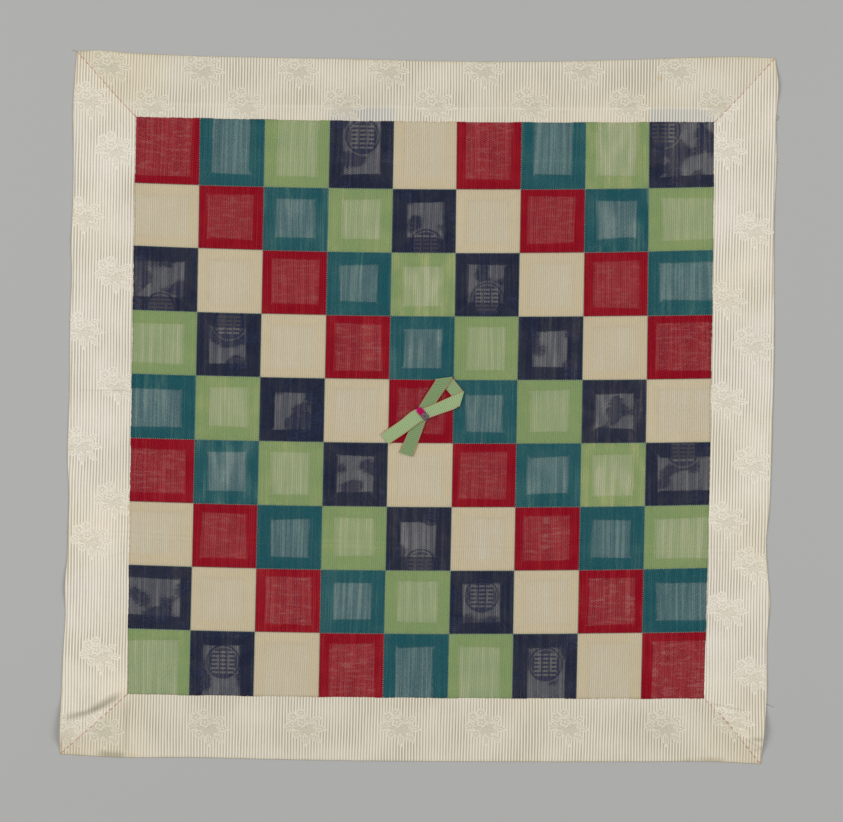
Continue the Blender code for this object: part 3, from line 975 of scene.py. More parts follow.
@dataclass(frozen=True)
class BorderFinish(Finish):
    """Ivory silk with damask stripes and sprigs, yellowed and stained with age, and with painted shade along
    its folds.
    """

    ground: Colour = (237, 230, 217)
    line: Colour = (181, 174, 154)
    outline: Colour = (246, 240, 227)
    figure: Colour = (186, 180, 158)
    aged: Colour = (190, 168, 122)
    # The colour of the painted shade in the troughs of the border's folds.
    trough: Colour = (126, 120, 94)
    warm: Colour = (240, 228, 205)
    filled: float = 0.1
    shadow: Colour = (140, 152, 168)
    pitch: float = 2.6

    def make(self) -> bpy.types.Material:
        """Makes the material.

        Returns:
            The material.
        """
        material, wires, shader = self.start()
        line, uneven, slub = wires.group(make_group(STRIPE), Place=wires.uv("cut"), Pitch=self.pitch)
        figure, bare, mottle = wires.group(make_group(SPRIG), Place=wires.uv("sprig"))
        age, hem, blue = wires.worn("wear")
        contrast, warmth, shade = wires.worn("tone")
        lines = line * contrast * (0.55 + uneven * 0.9) * (1.0 - bare * 0.9)
        colour = wires.mixed(warmth, linear(*self.ground), linear(*self.warm))
        colour = wires.mixed(lines, colour, linear(*self.line))
        marks = bare * (self.filled + mottle * 0.6) * (1.0 - figure)
        # The tone's shade, random darkening with painted shade along the folds, also pulls the silk towards
        # the sprig colour here.
        colour = wires.mixed(marks + (slub - 0.42) * 0.4 + shade * 0.3, colour, linear(*self.figure))
        colour = wires.mixed(bare * figure * 0.4, colour, linear(*self.outline))
        colour = wires.mixed(blue * (0.1 + lines * 0.5), colour, linear(*self.shadow))
        colour = wires.mixed(hem * 0.35, colour, linear(*self.outline))
        # Painted shade along the folds, towards the trough colour.
        colour = wires.mixed(shade * 0.5, colour, linear(*self.trough))
        colour = wires.mixed(age * (0.4 + uneven * 0.5), colour, linear(*self.aged))
        wires.feed(shader.inputs["Base Color"], colour)
        wires.feed(shader.inputs["Roughness"], self.roughness + lines * 0.12)
        self.relief(wires, shader, (1.0 - lines) * 0.6 + slub * 0.35 - marks * 0.3, 0.00018, 0.5)
        return material


@dataclass(frozen=True)
class RibbonFinish(Finish):
    """Green silk ribbon with fine ribs across it, and painted shade on the stretches between its folds."""

    ground: Colour = (161, 183, 135)
    groove: Colour = (88, 114, 72)
    seam: Colour = (190, 136, 104)
    pitch: float = 1.75
    zigzag: float = 2.1
    middle: float = 5.75
    seam_from: tuple[float, float] = (5.3, 5.9)

    def make(self) -> bpy.types.Material:
        """Makes the material.

        Returns:
            The material.
        """
        material, wires, shader = self.start()
        place = wires.uv("ribbon")
        across, along, _ = wires.parts(place)
        # shade is painted shade: each stretch between the ribbon's folds is drawn darker by its own amount.
        shade, _, _ = wires.worn()
        wave = wires.uneven(wires.stretched(place, 0.35, 0.2), 1.0, 2.0)
        zigzag = abs(wires.saw(across / self.zigzag)) * 0.55
        groove = wires.rise(abs(wires.saw(along / self.pitch + wave * 0.5 + zigzag)), 0.24, 0.44)
        fine = wires.uneven(wires.stretched(place, 1.4, 0.7), 1.0, 2.0, 0.65)
        dark = groove * (0.3 + fine * 0.6) * (1.0 - shade * 0.4) + (fine - 0.5) * 0.3 + shade
        colour = wires.mixed(dark, linear(*self.ground), linear(*self.groove))
        edge = wires.rise(abs(across - self.middle) + fine, *self.seam_from)
        wires.feed(shader.inputs["Base Color"], wires.mixed(edge * 0.6, colour, linear(*self.seam)))
        wires.feed(shader.inputs["Roughness"], self.roughness + groove * 0.15)
        self.relief(wires, shader, (1.0 - groove) * 0.7 + fine * 0.3, 0.0002, 0.6)
        return material


@dataclass(frozen=True)
class ThreadFinish(Finish):
    """Silk thread or floss: its colour, the paler colour of the sheen painted on its strands, and how tightly
    it is twisted.
    """

    thread: Colour = (128, 128, 128)
    bright: Colour = (160, 160, 160)
    turns: float = 0.9
    mapped: bool = True

    def make(self) -> bpy.types.Material:
        """Makes the material.

        Returns:
            The material.
        """
        material, wires, shader = self.start()
        place = wires.uv("thread") if self.mapped else wires.stretched(wires.on_piece(), 900.0, 900.0)
        strands, streak = wires.group(make_group(TWIST), Place=place, Turns=self.turns)
        # Painted sheen: the shine along the twist is drawn into the colour.
        shine = wires.rise(streak, 0.35, 0.7) * 0.7 + strands * 0.3
        colour = wires.mixed(shine, linear(*self.thread), linear(*self.bright))
        wires.feed(shader.inputs["Base Color"], colour)
        wires.feed(shader.inputs["Roughness"], self.roughness + strands * 0.1)
        self.relief(wires, shader, strands, 0.0001, 0.6)
        return material


@dataclass(frozen=True)
class FloorFinish(Finish):
    """The plain pale surface that the cloth lies on."""

    ground: Colour = (176, 176, 174)
    fleck: Colour = (186, 186, 185)

    def make(self) -> bpy.types.Material:
        """Makes the material.

        Returns:
            The material.
        """
        material, wires, shader = self.start()
        soft = wires.uneven(wires.stretched(wires.on_piece(), 3.0, 3.0), 1.0, 3.0)
        colour = wires.mixed(soft * 0.06, linear(*self.ground), linear(*self.fleck))
        wires.feed(shader.inputs["Base Color"], colour)
        return material


GAUZES = {
    Silk.RED: GauzeFinish(
        "red gauze", 0.75, thread=(149, 2, 30), streak=(188, 52, 54), openness=0.15, holes=0.62, middle=0.2,
        drift=0.8,
    ),
    Silk.TEAL: GauzeFinish(
        "teal gauze", 0.75, thread=(29, 95, 104), streak=(92, 148, 140), openness=0.46, holes=0.36,
    ),
    Silk.GREEN: GauzeFinish(
        "green gauze", 0.75, thread=(149, 174, 115), streak=(206, 211, 140), openness=0.54, holes=0.24,
        middle=0.4,
    ),
    Silk.NAVY: GauzeFinish(
        "navy gauze", 0.75, thread=(36, 43, 67), streak=(92, 88, 92), openness=0.52, holes=0.26, figure=0.92,
    ),
    Silk.IVORY: GauzeFinish(
        "ivory gauze", 0.75, thread=(223, 208, 175), streak=(242, 232, 204), openness=0.46, holes=0.22,
        middle=0.4,
    ),
}
BORDER_LEVEL = BorderFinish(
    "border silk, level strips", 0.5, 0.15, ground=(229, 221, 205), line=(172, 165, 143),
    outline=(232, 226, 211), warm=(230, 219, 195), filled=0.35,
)
BORDER_UPRIGHT = BorderFinish("border silk, upright strips", 0.5, 0.15)
RIBBON = RibbonFinish("ribbon silk", 0.55, 0.2)
MAGENTA = ThreadFinish("magenta floss", 0.35, 0.2, thread=(138, 0, 64), bright=(214, 4, 108), turns=0.1)
MAUVE = ThreadFinish("mauve floss", 0.4, 0.1, thread=(64, 50, 60), bright=(132, 112, 118), turns=0.1)
PALE_LOOP = ThreadFinish(
    "pale mauve thread", 0.4, 0.1, thread=(124, 108, 112), bright=(170, 156, 158), turns=0.1,
)
EDGING = ThreadFinish("tan sewing silk", 0.5, thread=(178, 120, 82), bright=(206, 156, 112), mapped=False)
WHIPPING = ThreadFinish(
    "blue-green sewing silk", 0.5, thread=(122, 158, 148), bright=(176, 204, 190), mapped=False,
)
CORAL = ThreadFinish("coral sewing silk", 0.5, thread=(190, 100, 78), bright=(220, 146, 120), mapped=False)
LOOSE = ThreadFinish("loose grey thread", 0.5, thread=(132, 124, 108), bright=(170, 160, 142))


def grid_lines(verts: Sequence[bmesh.types.BMVert], wide: int, high: int) -> dict:
    """The two lines that each point of a new grid lies on, counted from its lower left corner."""
    return {vert: (round((vert.co.x + 1) / 2 * wide), round((vert.co.y + 1) / 2 * high)) for vert in verts}


def make_mesh(name: str, bm: bmesh.types.BMesh) -> bpy.types.Mesh:
    """Makes a mesh of a finished bmesh.

    Args:
        name: its name.
        bm: the bmesh, which is freed.

    Returns:
        The mesh.
    """
    mesh = bpy.data.meshes.new(name)
    bm.to_mesh(mesh)
    bm.free()
    return mesh


def add_object(name: str, data: bpy.types.ID) -> bpy.types.Object:
    """Makes an object and links it to the scene.

    Args:
        name: its name.
        data: its mesh, lamp or camera.

    Returns:
        The object.
    """
    made = bpy.data.objects.new(name, data)
    bpy.context.scene.collection.objects.link(made)
    return made


def roll_up(bm: bmesh.types.BMesh, lines: dict, around: int) -> None:
    """Joins the two side lines of a grid that has been laid once round a piece."""
    sides = [vert for vert, (turn, _) in lines.items() if turn in (0, around)]
    bmesh.ops.remove_doubles(bm, verts=sides, dist=WELD)


def smooth_path(points: Sequence[Vector], steps: int) -> list[Vector]:
    """A smooth path through a few places, in a number of steps from each to the next."""
    line = SmoothLine(range(len(points)), points)
    return [line.at(index / steps) for index in range(steps * (len(points) - 1) + 1)]


def finish_piece(name: str, bm: bmesh.types.BMesh, material: bpy.types.Material,
                 sharp: float | None = None) -> bpy.types.Object:
    """Makes an object of a finished mesh, on the cloth's one body.

    Args:
        name: the piece's name.
        bm: its mesh, which is freed.
        material: its material.
        sharp: edges with a larger angle than this, in degrees, stay sharp.

    Returns:
        The piece.
    """
    mesh = make_mesh(name, bm)
    mesh.shade_smooth()
    if sharp is not None:
        mesh.set_sharp_from_angle(angle=math.radians(sharp))
    mesh.materials.append(material)
    piece = add_object(name, mesh)
    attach(piece, "root")
    return piece


def add_tube(bm: bmesh.types.BMesh, path: Sequence[Vector], radii: Sequence[float], around: int = 6) -> None:
    """Adds a round thread along a path, with its two ends closed.

    Args:
        bm: the mesh that gets it, with a UV map named thread.
        path: the points that it follows, in millimetres.
        radii: its radius at each point.
        around: its number of sides.
    """
    layer = bm.loops.layers.uv["thread"]
    high = len(path) - 1
    verts = bmesh.ops.create_grid(bm, x_segments=around, y_segments=high, size=1.0)["verts"]
    lines = grid_lines(verts, around, high)
    aims = []
    for index in range(len(path)):
        aims.append((path[min(index + 1, high)] - path[max(index - 1, 0)]).normalized())
    rights = [aims[0].orthogonal().normalized()]
    for aim in aims[1:]:
        rights.append((rights[-1] - aim * rights[-1].dot(aim)).normalized())
    along = [0.0]
    for a, b in zip(path, path[1:]):
        along.append(along[-1] + (b - a).length)
    for face in {face for vert in verts for face in vert.link_faces}:
        for loop in face.loops:
            turn, step = lines[loop.vert]
            loop[layer].uv = (turn / around, along[step])
    for vert, (turn, step) in lines.items():
        angle = 2 * math.pi * turn / around
        out = rights[step] * math.cos(angle) + aims[step].cross(rights[step]) * math.sin(angle)
        vert.co = (path[step] + out * radii[step]) * MM
    roll_up(bm, lines, around)
    rims = {edge for vert in verts if vert.is_valid for edge in vert.link_edges if edge.is_boundary}
    bmesh.ops.holes_fill(bm, edges=list(rims))


def thread_piece(name: str, threads: Sequence[tuple[list[Vector], list[float]]], finish: ThreadFinish,
                 around: int = 6) -> bpy.types.Object:
    """Makes one piece of several round threads.

    Args:
        name: the piece's name.
        threads: each thread's path in millimetres, with its radius at each point.
        finish: their finish.
        around: each thread's number of sides.

    Returns:
        The piece.
    """
    bm = bmesh.new()
    bm.loops.layers.uv.new("thread")
    for path, radii in threads:
        add_tube(bm, path, radii, around)
    bmesh.ops.recalc_face_normals(bm, faces=bm.faces[:])
    return finish_piece(name, bm, finish.make())


@dataclass
class GauzeSquare:
    """One square of the patchwork: its place, its hems and their slants by axis and end, wear and grid."""

    column: int
    row: int
    hems: list[list[float | None]]
    slants: list[list[float]]
    lean: float
    tint: float
    seed: float
    wornness: float
    far: tuple[float, float]
    cells: tuple[int, int]
    before: list[int]
    grid: list[int]
    knots: list[list[float]]


@dataclass
class Patchwork:
    """Eighty-one squares of sheer gauze, each with its own hems turned under."""

    plan: ClothPlan
    cells: int = 20
    crease_cells: int = 36
    crease_rows: tuple[int, ...] = (0, 6)
    flap_cells: int = 4
    thickness: float = 0.12
    fold: float = 0.18
    drop: float = 0.36
    butt: float = 0.04
    tuck: float = 0.5
    cut: float = 0.078
    hem_line: float = 0.7
    hem_fade: float = 0.8
    slant: float = 0.9
    wobble: float = 0.45
    wobble_length: float = 16.0
    fan: float = 0.55
    tile: float = 0.08
    hems: dict[Silk, tuple[float, float]] = field(
        default_factory=lambda: {
            Silk.RED: (6.5, 9.6), Silk.TEAL: (10.0, 13.6), Silk.GREEN: (8.8, 12.6),
            Silk.NAVY: (10.2, 13.6), Silk.IVORY: (8.4, 10.6),
        }
    )

    def build(self) -> list[bpy.types.Object]:
        """Makes one sheet for each colour, which holds all its squares.

        Returns:
            The five pieces.
        """
        pieces = []
        for silk in Silk:
            places = [
                (column, row) for row in range(self.plan.squares) for column in range(self.plan.squares)
                if self.plan.silk(column, row) is silk
            ]
            bm = bmesh.new()
            bm.loops.layers.uv.new("weave")
            bm.loops.layers.uv.new("figure")
            bm.verts.layers.float_vector.new("wear")
            for column, row in places:
                self.add_square(bm, self.draw_square(silk, column, row))
            piece = finish_piece("gauze_" + silk.value, bm, GAUZES[silk].make())
            wall = piece.modifiers.new("thickness", "SOLIDIFY")
            wall.thickness = self.thickness * MM
            wall.offset = -1.0
            wall.use_even_offset = False
            pieces.append(piece)
        return pieces

    def knots(self, cells: int, first: float | None, last: float | None, width: float) -> list[float]:
        """How far each grid line of a square lies from its first side.

        Args:
            cells: number of cells.
            first: width of the hem at the first side, or None where there is none.
            last: width of the hem at the last side, or None.
            width: the whole width of the square.

        Returns:
            The places of the lines in millimetres.
        """
        head = [0.0, 0.34, 0.67] if first else []
        tail = [0.67, 0.34, 0.0] if last else []
        start = [self.fold + share * first for share in head] if first else [-self.tuck]
        end = [width - self.fold - share * last for share in tail] if last else [width + self.tuck]
        if first:
            start += [first - self.hem_line, first + self.hem_line]
        if last:
            end = [width - last - self.hem_line, width - last + self.hem_line] + end
        between = cells + 1 - len(start) - len(end)
        gap = end[0] - start[-1]
        return start + [start[-1] + gap * (index + 1) / (between + 1) for index in range(between)] + end

    def draw_square(self, silk: Silk, column: int, row: int) -> GauzeSquare:
        """Draws the chances of one square, and lays out its grid.

        Args:
            silk: its gauze.
            column: its column.
            row: its row.

        Returns:
            The square.
        """
        draw = random.Random(100 * row + column + 7)
        last = self.plan.squares - 1
        borders = ((column == 0, column == last), (row == last, row == 0))
        hems = [[None if border else draw.uniform(*self.hems[silk]) for border in pair] for pair in borders]
        slants = [[draw.uniform(-self.slant, self.slant) for _ in pair] for pair in borders]
        lean, tint, seed = draw.uniform(-0.02, 0.02), draw.uniform(-0.5, 0.5), draw.uniform(1.0, 90.0)
        wornness = WORN_SQUARES.get((column, row), max(0.0, draw.uniform(-0.3, 0.35)))
        far = (draw.uniform(120, 900), draw.uniform(120, 900))
        cells = (self.cells, self.crease_cells if row in self.crease_rows else self.cells)
        flaps = [[self.flap_cells if hem else 0 for hem in pair] for pair in hems]
        grid = [count + sum(pair) for count, pair in zip(cells, flaps)]
        knots = [self.knots(count, *pair, self.plan.square) for count, pair in zip(cells, hems)]
        return GauzeSquare(column, row, hems, slants, lean, tint, seed, wornness, far, cells,
                           [pair[0] for pair in flaps], grid, knots)

    def flap(self, line: int, cells: int, hems: Sequence[float | None]) -> tuple[int, float, int]:
        """Which flap of a square a grid line is on.

        Args:
            line: the line, counted from the first fold.
            cells: number of cells from fold to fold.
            hems: the widths of the hems at both ends.

        Returns:
            The flap (-1, 0 or 1), how far in from the fold the line lies, and its step.
        """
        way = (line > cells) - (line < 0)
        if not way:
            return 0, 0.0, 0
        step = line - cells if way > 0 else -line
        hem = hems[way > 0]
        return way, (0.0, 0.0, self.fold, hem * self.fan, hem)[step], step

    def settle(self, square: GauzeSquare, lines: tuple[int, int]) -> tuple[Vector, Vector, float]:
        """Where a grid point of a square lies.

        Args:
            square: the square.
            lines: the point's two grid lines.

        Returns:
            The point, its place on the unfolded cloth, and how much of a hem it is on.
        """
        size, hems = self.plan.square, square.hems
        from_fold = [line - before for line, before in zip(lines, square.before)]
        flaps = [self.flap(*row) for row in zip(from_fold, square.cells, hems)]
        step = max(flaps[0][2], flaps[1][2])
        spot = [square.knots[axis][min(max(from_fold[axis], 0), square.cells[axis])] for axis in (0, 1)]
        wobbles = [self.wobble * ripple(spot[1 - axis], square.seed, self.wobble_length, axis + 1.0)
                   for axis in (0, 1)]
        for axis in (0, 1):
            if 2 < from_fold[axis] < square.cells[axis] - 2:
                slant = square.slants[axis][lines[axis] >= square.grid[axis] / 2]
                spot[axis] += wobbles[axis] + slant * (spot[1 - axis] / size - 0.5) * 2
        cloth = list(spot)
        for axis, (way, inward, _) in enumerate(flaps):
            if way:
                base = 0.0 if way < 0 else size
                slant = square.slants[axis][way > 0]
                inward += (wobbles[axis] + slant * (spot[1 - axis] / size - 0.5) * 2) * (step > 2)
                spot[axis] = base - way * inward
                low, top = (inward if hem else 0.0 for hem in hems[1 - axis])
                spot[1 - axis] = blend(low, size - top, spot[1 - axis] / size)
                cloth[axis] = base + way * (inward + self.fold * 2)
        a, b = (blend(self.butt, size - self.butt, part / size) for part in spot)
        x, y = self.plan.point(square.column + a / size, square.row + 1 - b / size)
        ends = zip((a, size - a, b, size - b), hems[0] + hems[1])
        on_hem = max(ease(off, hem + self.hem_fade, hem - self.hem_fade) for off, hem in ends if hem)
        z = self.plan.gauze_top + self.plan.lift(x, y) + self.plan.hem_rise
        if step == 0:
            z -= self.plan.hem_rise * (1 - on_hem)
            z += 0.12 * ripple(x, y, 15.0, square.seed) * (1 - on_hem)
        else:
            z -= (0.0, self.drop / 2, self.drop, self.drop, self.drop - 0.03)[step]
        return Vector((x, y, z)), Vector(cloth), on_hem

    def add_square(self, bm: bmesh.types.BMesh, square: GauzeSquare) -> None:
        """Adds one square with its turned-under hems, its UV maps, its wear and its painted light.

        Args:
            bm: the mesh that gets it.
            square: the square.
        """
        seed, half = square.seed, self.plan.square / 2
        made = bmesh.ops.create_grid(bm, x_segments=square.grid[0], y_segments=square.grid[1], size=1.0)
        lines = grid_lines(made["verts"], *square.grid)
        placed = {vert: self.settle(square, lines[vert]) for vert in made["verts"]}
        weave, figure = bm.loops.layers.uv["weave"], bm.loops.layers.uv["figure"]
        wear = bm.verts.layers.float_vector["wear"]
        centre = ROUNDELS.get((square.column, square.row))
        corner_faces = []
        for face in {face for vert in placed for face in vert.link_faces}:
            middles = [sum(places) / 4 for places in zip(*(lines[vert] for vert in face.verts))]
            if not any(0 < middle - before < cells
                       for middle, before, cells in zip(middles, square.before, square.cells)):
                corner_faces.append(face)
                continue
            for loop in face.loops:
                _, cloth, _ = placed[loop.vert]
                sway = 0.9 * ripple(cloth.x, cloth.y, 45.0, seed)
                loop[weave].uv = ((cloth.x + square.lean * cloth.y + sway) * MM + self.tile * square.column,
                                  cloth.y * MM + self.tile * square.row)
                if centre:
                    loop[figure].uv = (cloth.x - half - centre[0], cloth.y - half - centre[1])
                else:
                    loop[figure].uv = (cloth.x + square.far[0], cloth.y + square.far[1])
        for vert, (point, cloth, on_hem) in placed.items():
            vert.co = point * MM
            cloudy = ripple(point.x, point.y * 2.2, 30.0, 5.0) * 0.7 + square.tint * 0.5
            # Painted highlight along the long creases, standing also for wear on the fold lines: the crease
            # lift makes the gauze paler.
            crease = self.plan.crease_lift(point.x, point.y)
            streaky = square.wornness * ease(ripple(point.x * 3.0, point.y, 22.0, seed), -0.2, 0.5)
            patches = ease(ripple(cloth.x, cloth.y, 15.0, seed), 0.1, 0.32)
            # The second value is the worn streaks, with painted light that makes the single layer paler than
            # the hems.
            vert[wear] = Vector((cloudy + crease, streaky + 0.4 * (1 - on_hem), patches))
        bmesh.ops.delete(bm, geom=corner_faces, context="FACES")


@dataclass
class Border:
    """Four strips of damask-striped silk, folded at the outer edge and mitred at the corners."""

    plan: ClothPlan
    top: float = 1.4
    step: float = 1.2
    top_cells: int = 46
    under_cells: int = 8
    nose: float = 0.9
    fan_from: float = 170.0
    bow_reach: float = 60.0
    flat_width: float = 0.0574
    flat_length: float = 0.627
    allowance: float = 12.5
    mitre_slope: float = 0.72
    sprigs_from: float = 225.0
    worn_corner: tuple[float, float] = (311.0, 312.0)

    def build(self) -> list[bpy.types.Object]:
        """Makes the four strips."""
        silks = {0: BORDER_LEVEL.make(), 1: BORDER_UPRIGHT.make()}
        return [self.strip(side, silks[side.axis]) for side in Side]

    def section(self) -> list[tuple[float, float, float]]:
        """Once round a strip: share of its width from the edge, a further inset, and height.

        Returns:
            The three numbers at each point.
        """
        half = self.top / 2
        points = []
        for index in range(self.top_cells + 1):
            share = index / self.top_cells
            points.append((blend(1.0, 0.0, share), self.nose * share, self.top))
        for angle in (45, 0, -45):
            turn = math.radians(angle)
            points.append((0.0, self.nose * (1 - math.cos(turn)), half + half * math.sin(turn)))
        for index in range(self.under_cells + 1):
            share = index / self.under_cells
            points.append((share, self.nose * (1 - share), 0.0))
        points.append((1.0, 0.0, half))
        return points

    def strip(self, side: Side, material: bpy.types.Material) -> bpy.types.Object:
        """Makes one strip, from mitre to mitre.

        Args:
            side: its side of the cloth.
            material: its silk.

        Returns:
            The piece.
        """
        plan, axis = self.plan, side.axis
        first, last = STRIP_CORNERS[side]
        edge = plan.edges[side]
        seam = {Side.TOP: plan.rows[0], Side.BOTTOM: plan.rows[-1],
                Side.LEFT: plan.columns[0], Side.RIGHT: plan.columns[-1]}[side]
        low, high = (first.outer[axis], first.inner[axis]), (last.outer[axis], last.inner[axis])
        count = math.ceil((high[0] - low[0]) / self.step)
        section = self.section()
        around = len(section)
        sprigs = [spot for spot in SPRIGS if self.near_strip(side, spot)]
        rings: list[list[Vector]] = []
        values: dict[str, list[list[Vector]]] = {"wear": [], "tone": []}
        for number in range(count + 1):
            place = blend(low[0], high[0], number / count)
            inner = self.inner_place(place, low, high)
            squares = plan.squares * (inner - low[1]) / (high[1] - low[1])
            inner_out = plan.seam_at(seam, squares if axis == 0 else plan.squares - squares)
            outer_out = edge.at(place)
            width = abs(outer_out - inner_out)
            bows = [(corner, max(0.0, 1 - abs(place - corner.outer[axis]) / self.bow_reach))
                    for corner in (first, last)]
            from_end = min(place - low[0], high[0] - place) * self.mitre_slope
            ring, wear, tone = [], [], []
            for share, inset, height in section:
                total = min(1.0, share + inset / width)
                along = blend(place, inner, total)
                out = blend(outer_out, inner_out, total)
                x, y = (along, out) if axis == 0 else (out, along)
                for corner, near in bows:
                    if near:
                        line = Vector(corner.outer) - Vector(corner.inner)
                        bow = corner.bow * near * math.sin(math.pi * total**1.5)
                        x += -line.y / line.length * bow
                        y += line.x / line.length * bow
                z = height + plan.lift(x, y)
                if height > 0:
                    z += self.relief(x, y, (1 - total) * width, from_end) * height / self.top
                ring.append(Vector((x, y, z)))
                wear.append(self.wear(side, x, y, total * width, (1 - total) * width, along))
                tone.append(self.tone(x, y))
            rings.append(ring)
            values["wear"].append(wear)
            values["tone"].append(tone)
        bm = self.mesh(rings, values, sprigs)
        piece = finish_piece("silk_" + side.label, bm, material, 60.0)
        area = (high[0] - low[0] + high[1] - low[1]) / 2 * MM * self.flat_width
        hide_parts("border_" + side.label)
        LOG.info("%s: %d points round, %d along", piece.name, around, count)
        return piece

    def near_strip(self, side: Side, spot: tuple[float, float]) -> bool:
        """Whether a sprig stands near enough to a strip to show on it."""
        return spot[1 - side.axis] * side.outward > self.sprigs_from

    def inner_place(self, place: float, low: tuple[float, float], high: tuple[float, float]) -> float:
        """Where the line from a place on the edge meets the inner seam: straight in, or fanned to a mitre.

        Args:
            place: the place on the outer edge.
            low: the outer and the inner place of the lower corner.
            high: the same of the upper corner.

        Returns:
            The place on the inner seam.
        """
        for (outer, inner), sign in ((low, -1), (high, 1)):
            if sign * place > self.fan_from:
                share = (sign * place - self.fan_from) / (sign * outer - self.fan_from)
                return sign * blend(self.fan_from, sign * inner, share)
        return place

    def relief(self, x: float, y: float, from_seam: float, from_mitre: float) -> float:
        """How far the silk's face stands out of its flat height.

        Args:
            x: place to the right.
            y: place upwards.
            from_seam: distance from the inner seam.
            from_mitre: distance from the nearer mitre.

        Returns:
            The height in millimetres.
        """
        lift = 0.22 * ripple(x, y, 26.0, 2.0) + 0.1 * ripple(x, y, 9.0, 4.0)
        lift += self.plan.strokes(WRINKLES, x, y)
        lift -= 0.4 * math.exp(-((from_seam / 1.1) ** 2))
        lift -= 0.2 * math.exp(-((from_mitre / 1.0) ** 2))
        lift += 0.07 * math.cos((x + y) * 2 * math.pi / 7.0) * math.exp(-min(from_seam, from_mitre) / 3.5)
        return lift

    def wear(self, side: Side, x: float, y: float, from_edge: float, from_seam: float,
             along: float) -> Vector:
        """How aged the silk is at a point, how much of a hem shows through it, and how blue that hem is.

        Args:
            side: the strip's side.
            x: place to the right.
            y: place upwards.
            from_edge: distance from the outer edge.
            from_seam: distance from the inner seam.
            along: place along the strip.

        Returns:
            The three values.
        """
        age = 0.5 * ease(from_edge, 3.0, 0.0) * (0.6 + 0.8 * ripple(x, y, 14.0, 6.0))
        from_corner = abs(abs(x) - self.worn_corner[0]) + abs(abs(y) - self.worn_corner[1])
        age += 0.2 * ease(from_corner, 40.0, 4.0)
        age += 0.1 * ease(ripple(x, y, 50.0, 8.0), 0.1, 0.7)
        for spot_x, spot_y, reach, depth in STAINS:
            away = math.hypot(x - spot_x, (y - spot_y) * 1.6) / reach
            age += depth * ease(away + 0.3 * ripple(x, y, 4.0, 9.0), 1.0, 0.2)
        hem = blue = 0.0
        if side is Side.TOP:
            edge = self.allowance + 1.6 * ripple(along, 0.0, 60.0, 10.0)
            hem_line = math.exp(-(((from_seam - edge) / 0.9) ** 2))
            hem = 0.35 * ease(from_seam, edge, edge - 1.2) + 0.8 * hem_line
            for column in range(self.plan.squares) if from_seam < edge + 1 else ():
                if self.plan.silk(column, 0) is Silk.NAVY:
                    low, high = (self.plan.seam_at(self.plan.columns[column + n], 0) for n in (0, 1))
                    inside = ease(along, low - 2, low + 2) * ease(along, high + 2, high - 2)
                    blue = max(blue, inside * ease(from_seam, edge + 1, edge - 2))
        return Vector((max(0.0, age), hem, blue))

    def tone(self, x: float, y: float) -> Vector:
        """How strong the stripes are at a point, how warm the silk is, and how dark, from random darkening
        and painted shade along its folds.

        Args:
            x: place to the right.
            y: place upwards.

        Returns:
            The three values.
        """
        contrast = 0.8 + 0.45 * ripple(x, y, 34.0, 21.0)
        warmth = ease(ripple(x, y, 90.0, 22.0), -0.1, 0.6) * 0.7 + 0.5 * ease(abs(x) + abs(y), 500.0, 610.0)
        # Painted shade along the folds of SHADES, over a random darkening.
        shade = 0.14 * ripple(x, y, 55.0, 23.0) + self.plan.strokes(SHADES, x, y)
        return Vector((contrast, min(1.0, warmth), shade))

    def mesh(self, rings: list[list[Vector]], values: dict[str, list[list[Vector]]],
             sprigs: list) -> bmesh.types.BMesh:
        """Lays a grid along the strip, rolls it up into the closed strip and fills its two ends.

        Args:
            rings: the points once round the strip, at each place along it.
            values: the attributes that those points carry.
            sprigs: the places of the sprigs that it shows.

        Returns:
            The mesh.
        """
        bm = bmesh.new()
        cut, spray = bm.loops.layers.uv.new("cut"), bm.loops.layers.uv.new("sprig")
        layers = {name: bm.verts.layers.float_vector.new(name) for name in values}
        around, count = len(rings[0]), len(rings) - 1
        bmesh.ops.create_grid(bm, x_segments=around, y_segments=count, size=1.0)
        lines = grid_lines(bm.verts, around, count)
        sways = [[self.sway(point.x, point.y) for point in ring] for ring in rings]
        for face in bm.faces:
            spots = [(lines[loop.vert][0] % around, lines[loop.vert][1]) for loop in face.loops]
            middle = rings[spots[0][1]][spots[0][0]]
            sprig = min(sprigs, key=lambda spot: (spot[0] - middle.x) ** 2 + (spot[1] - middle.y) ** 2)
            for loop, (turn, number) in zip(face.loops, spots):
                point = rings[number][turn]
                loop[cut].uv = (point.x + sways[number][turn], point.y)
                loop[spray].uv = (point.x - sprig[0], point.y - sprig[1])
        for vert, (turn, number) in lines.items():
            vert.co = rings[number][turn % around] * MM
            for name, rows in values.items():
                vert[layers[name]] = rows[number][turn % around]
        roll_up(bm, lines, around)
        ends = bmesh.ops.holes_fill(bm, edges=[edge for edge in bm.edges if edge.is_boundary])["faces"]
        bmesh.ops.triangulate(bm, faces=ends)
        bmesh.ops.recalc_face_normals(bm, faces=bm.faces[:])
        return bm

    def sway(self, x: float, y: float) -> float:
        """How far the stripes wander sideways."""
        return 0.9 * ripple(x, y, 70.0, 12.0) + 0.25 * ripple(x, y, 22.0, 14.0) - 0.005 * y


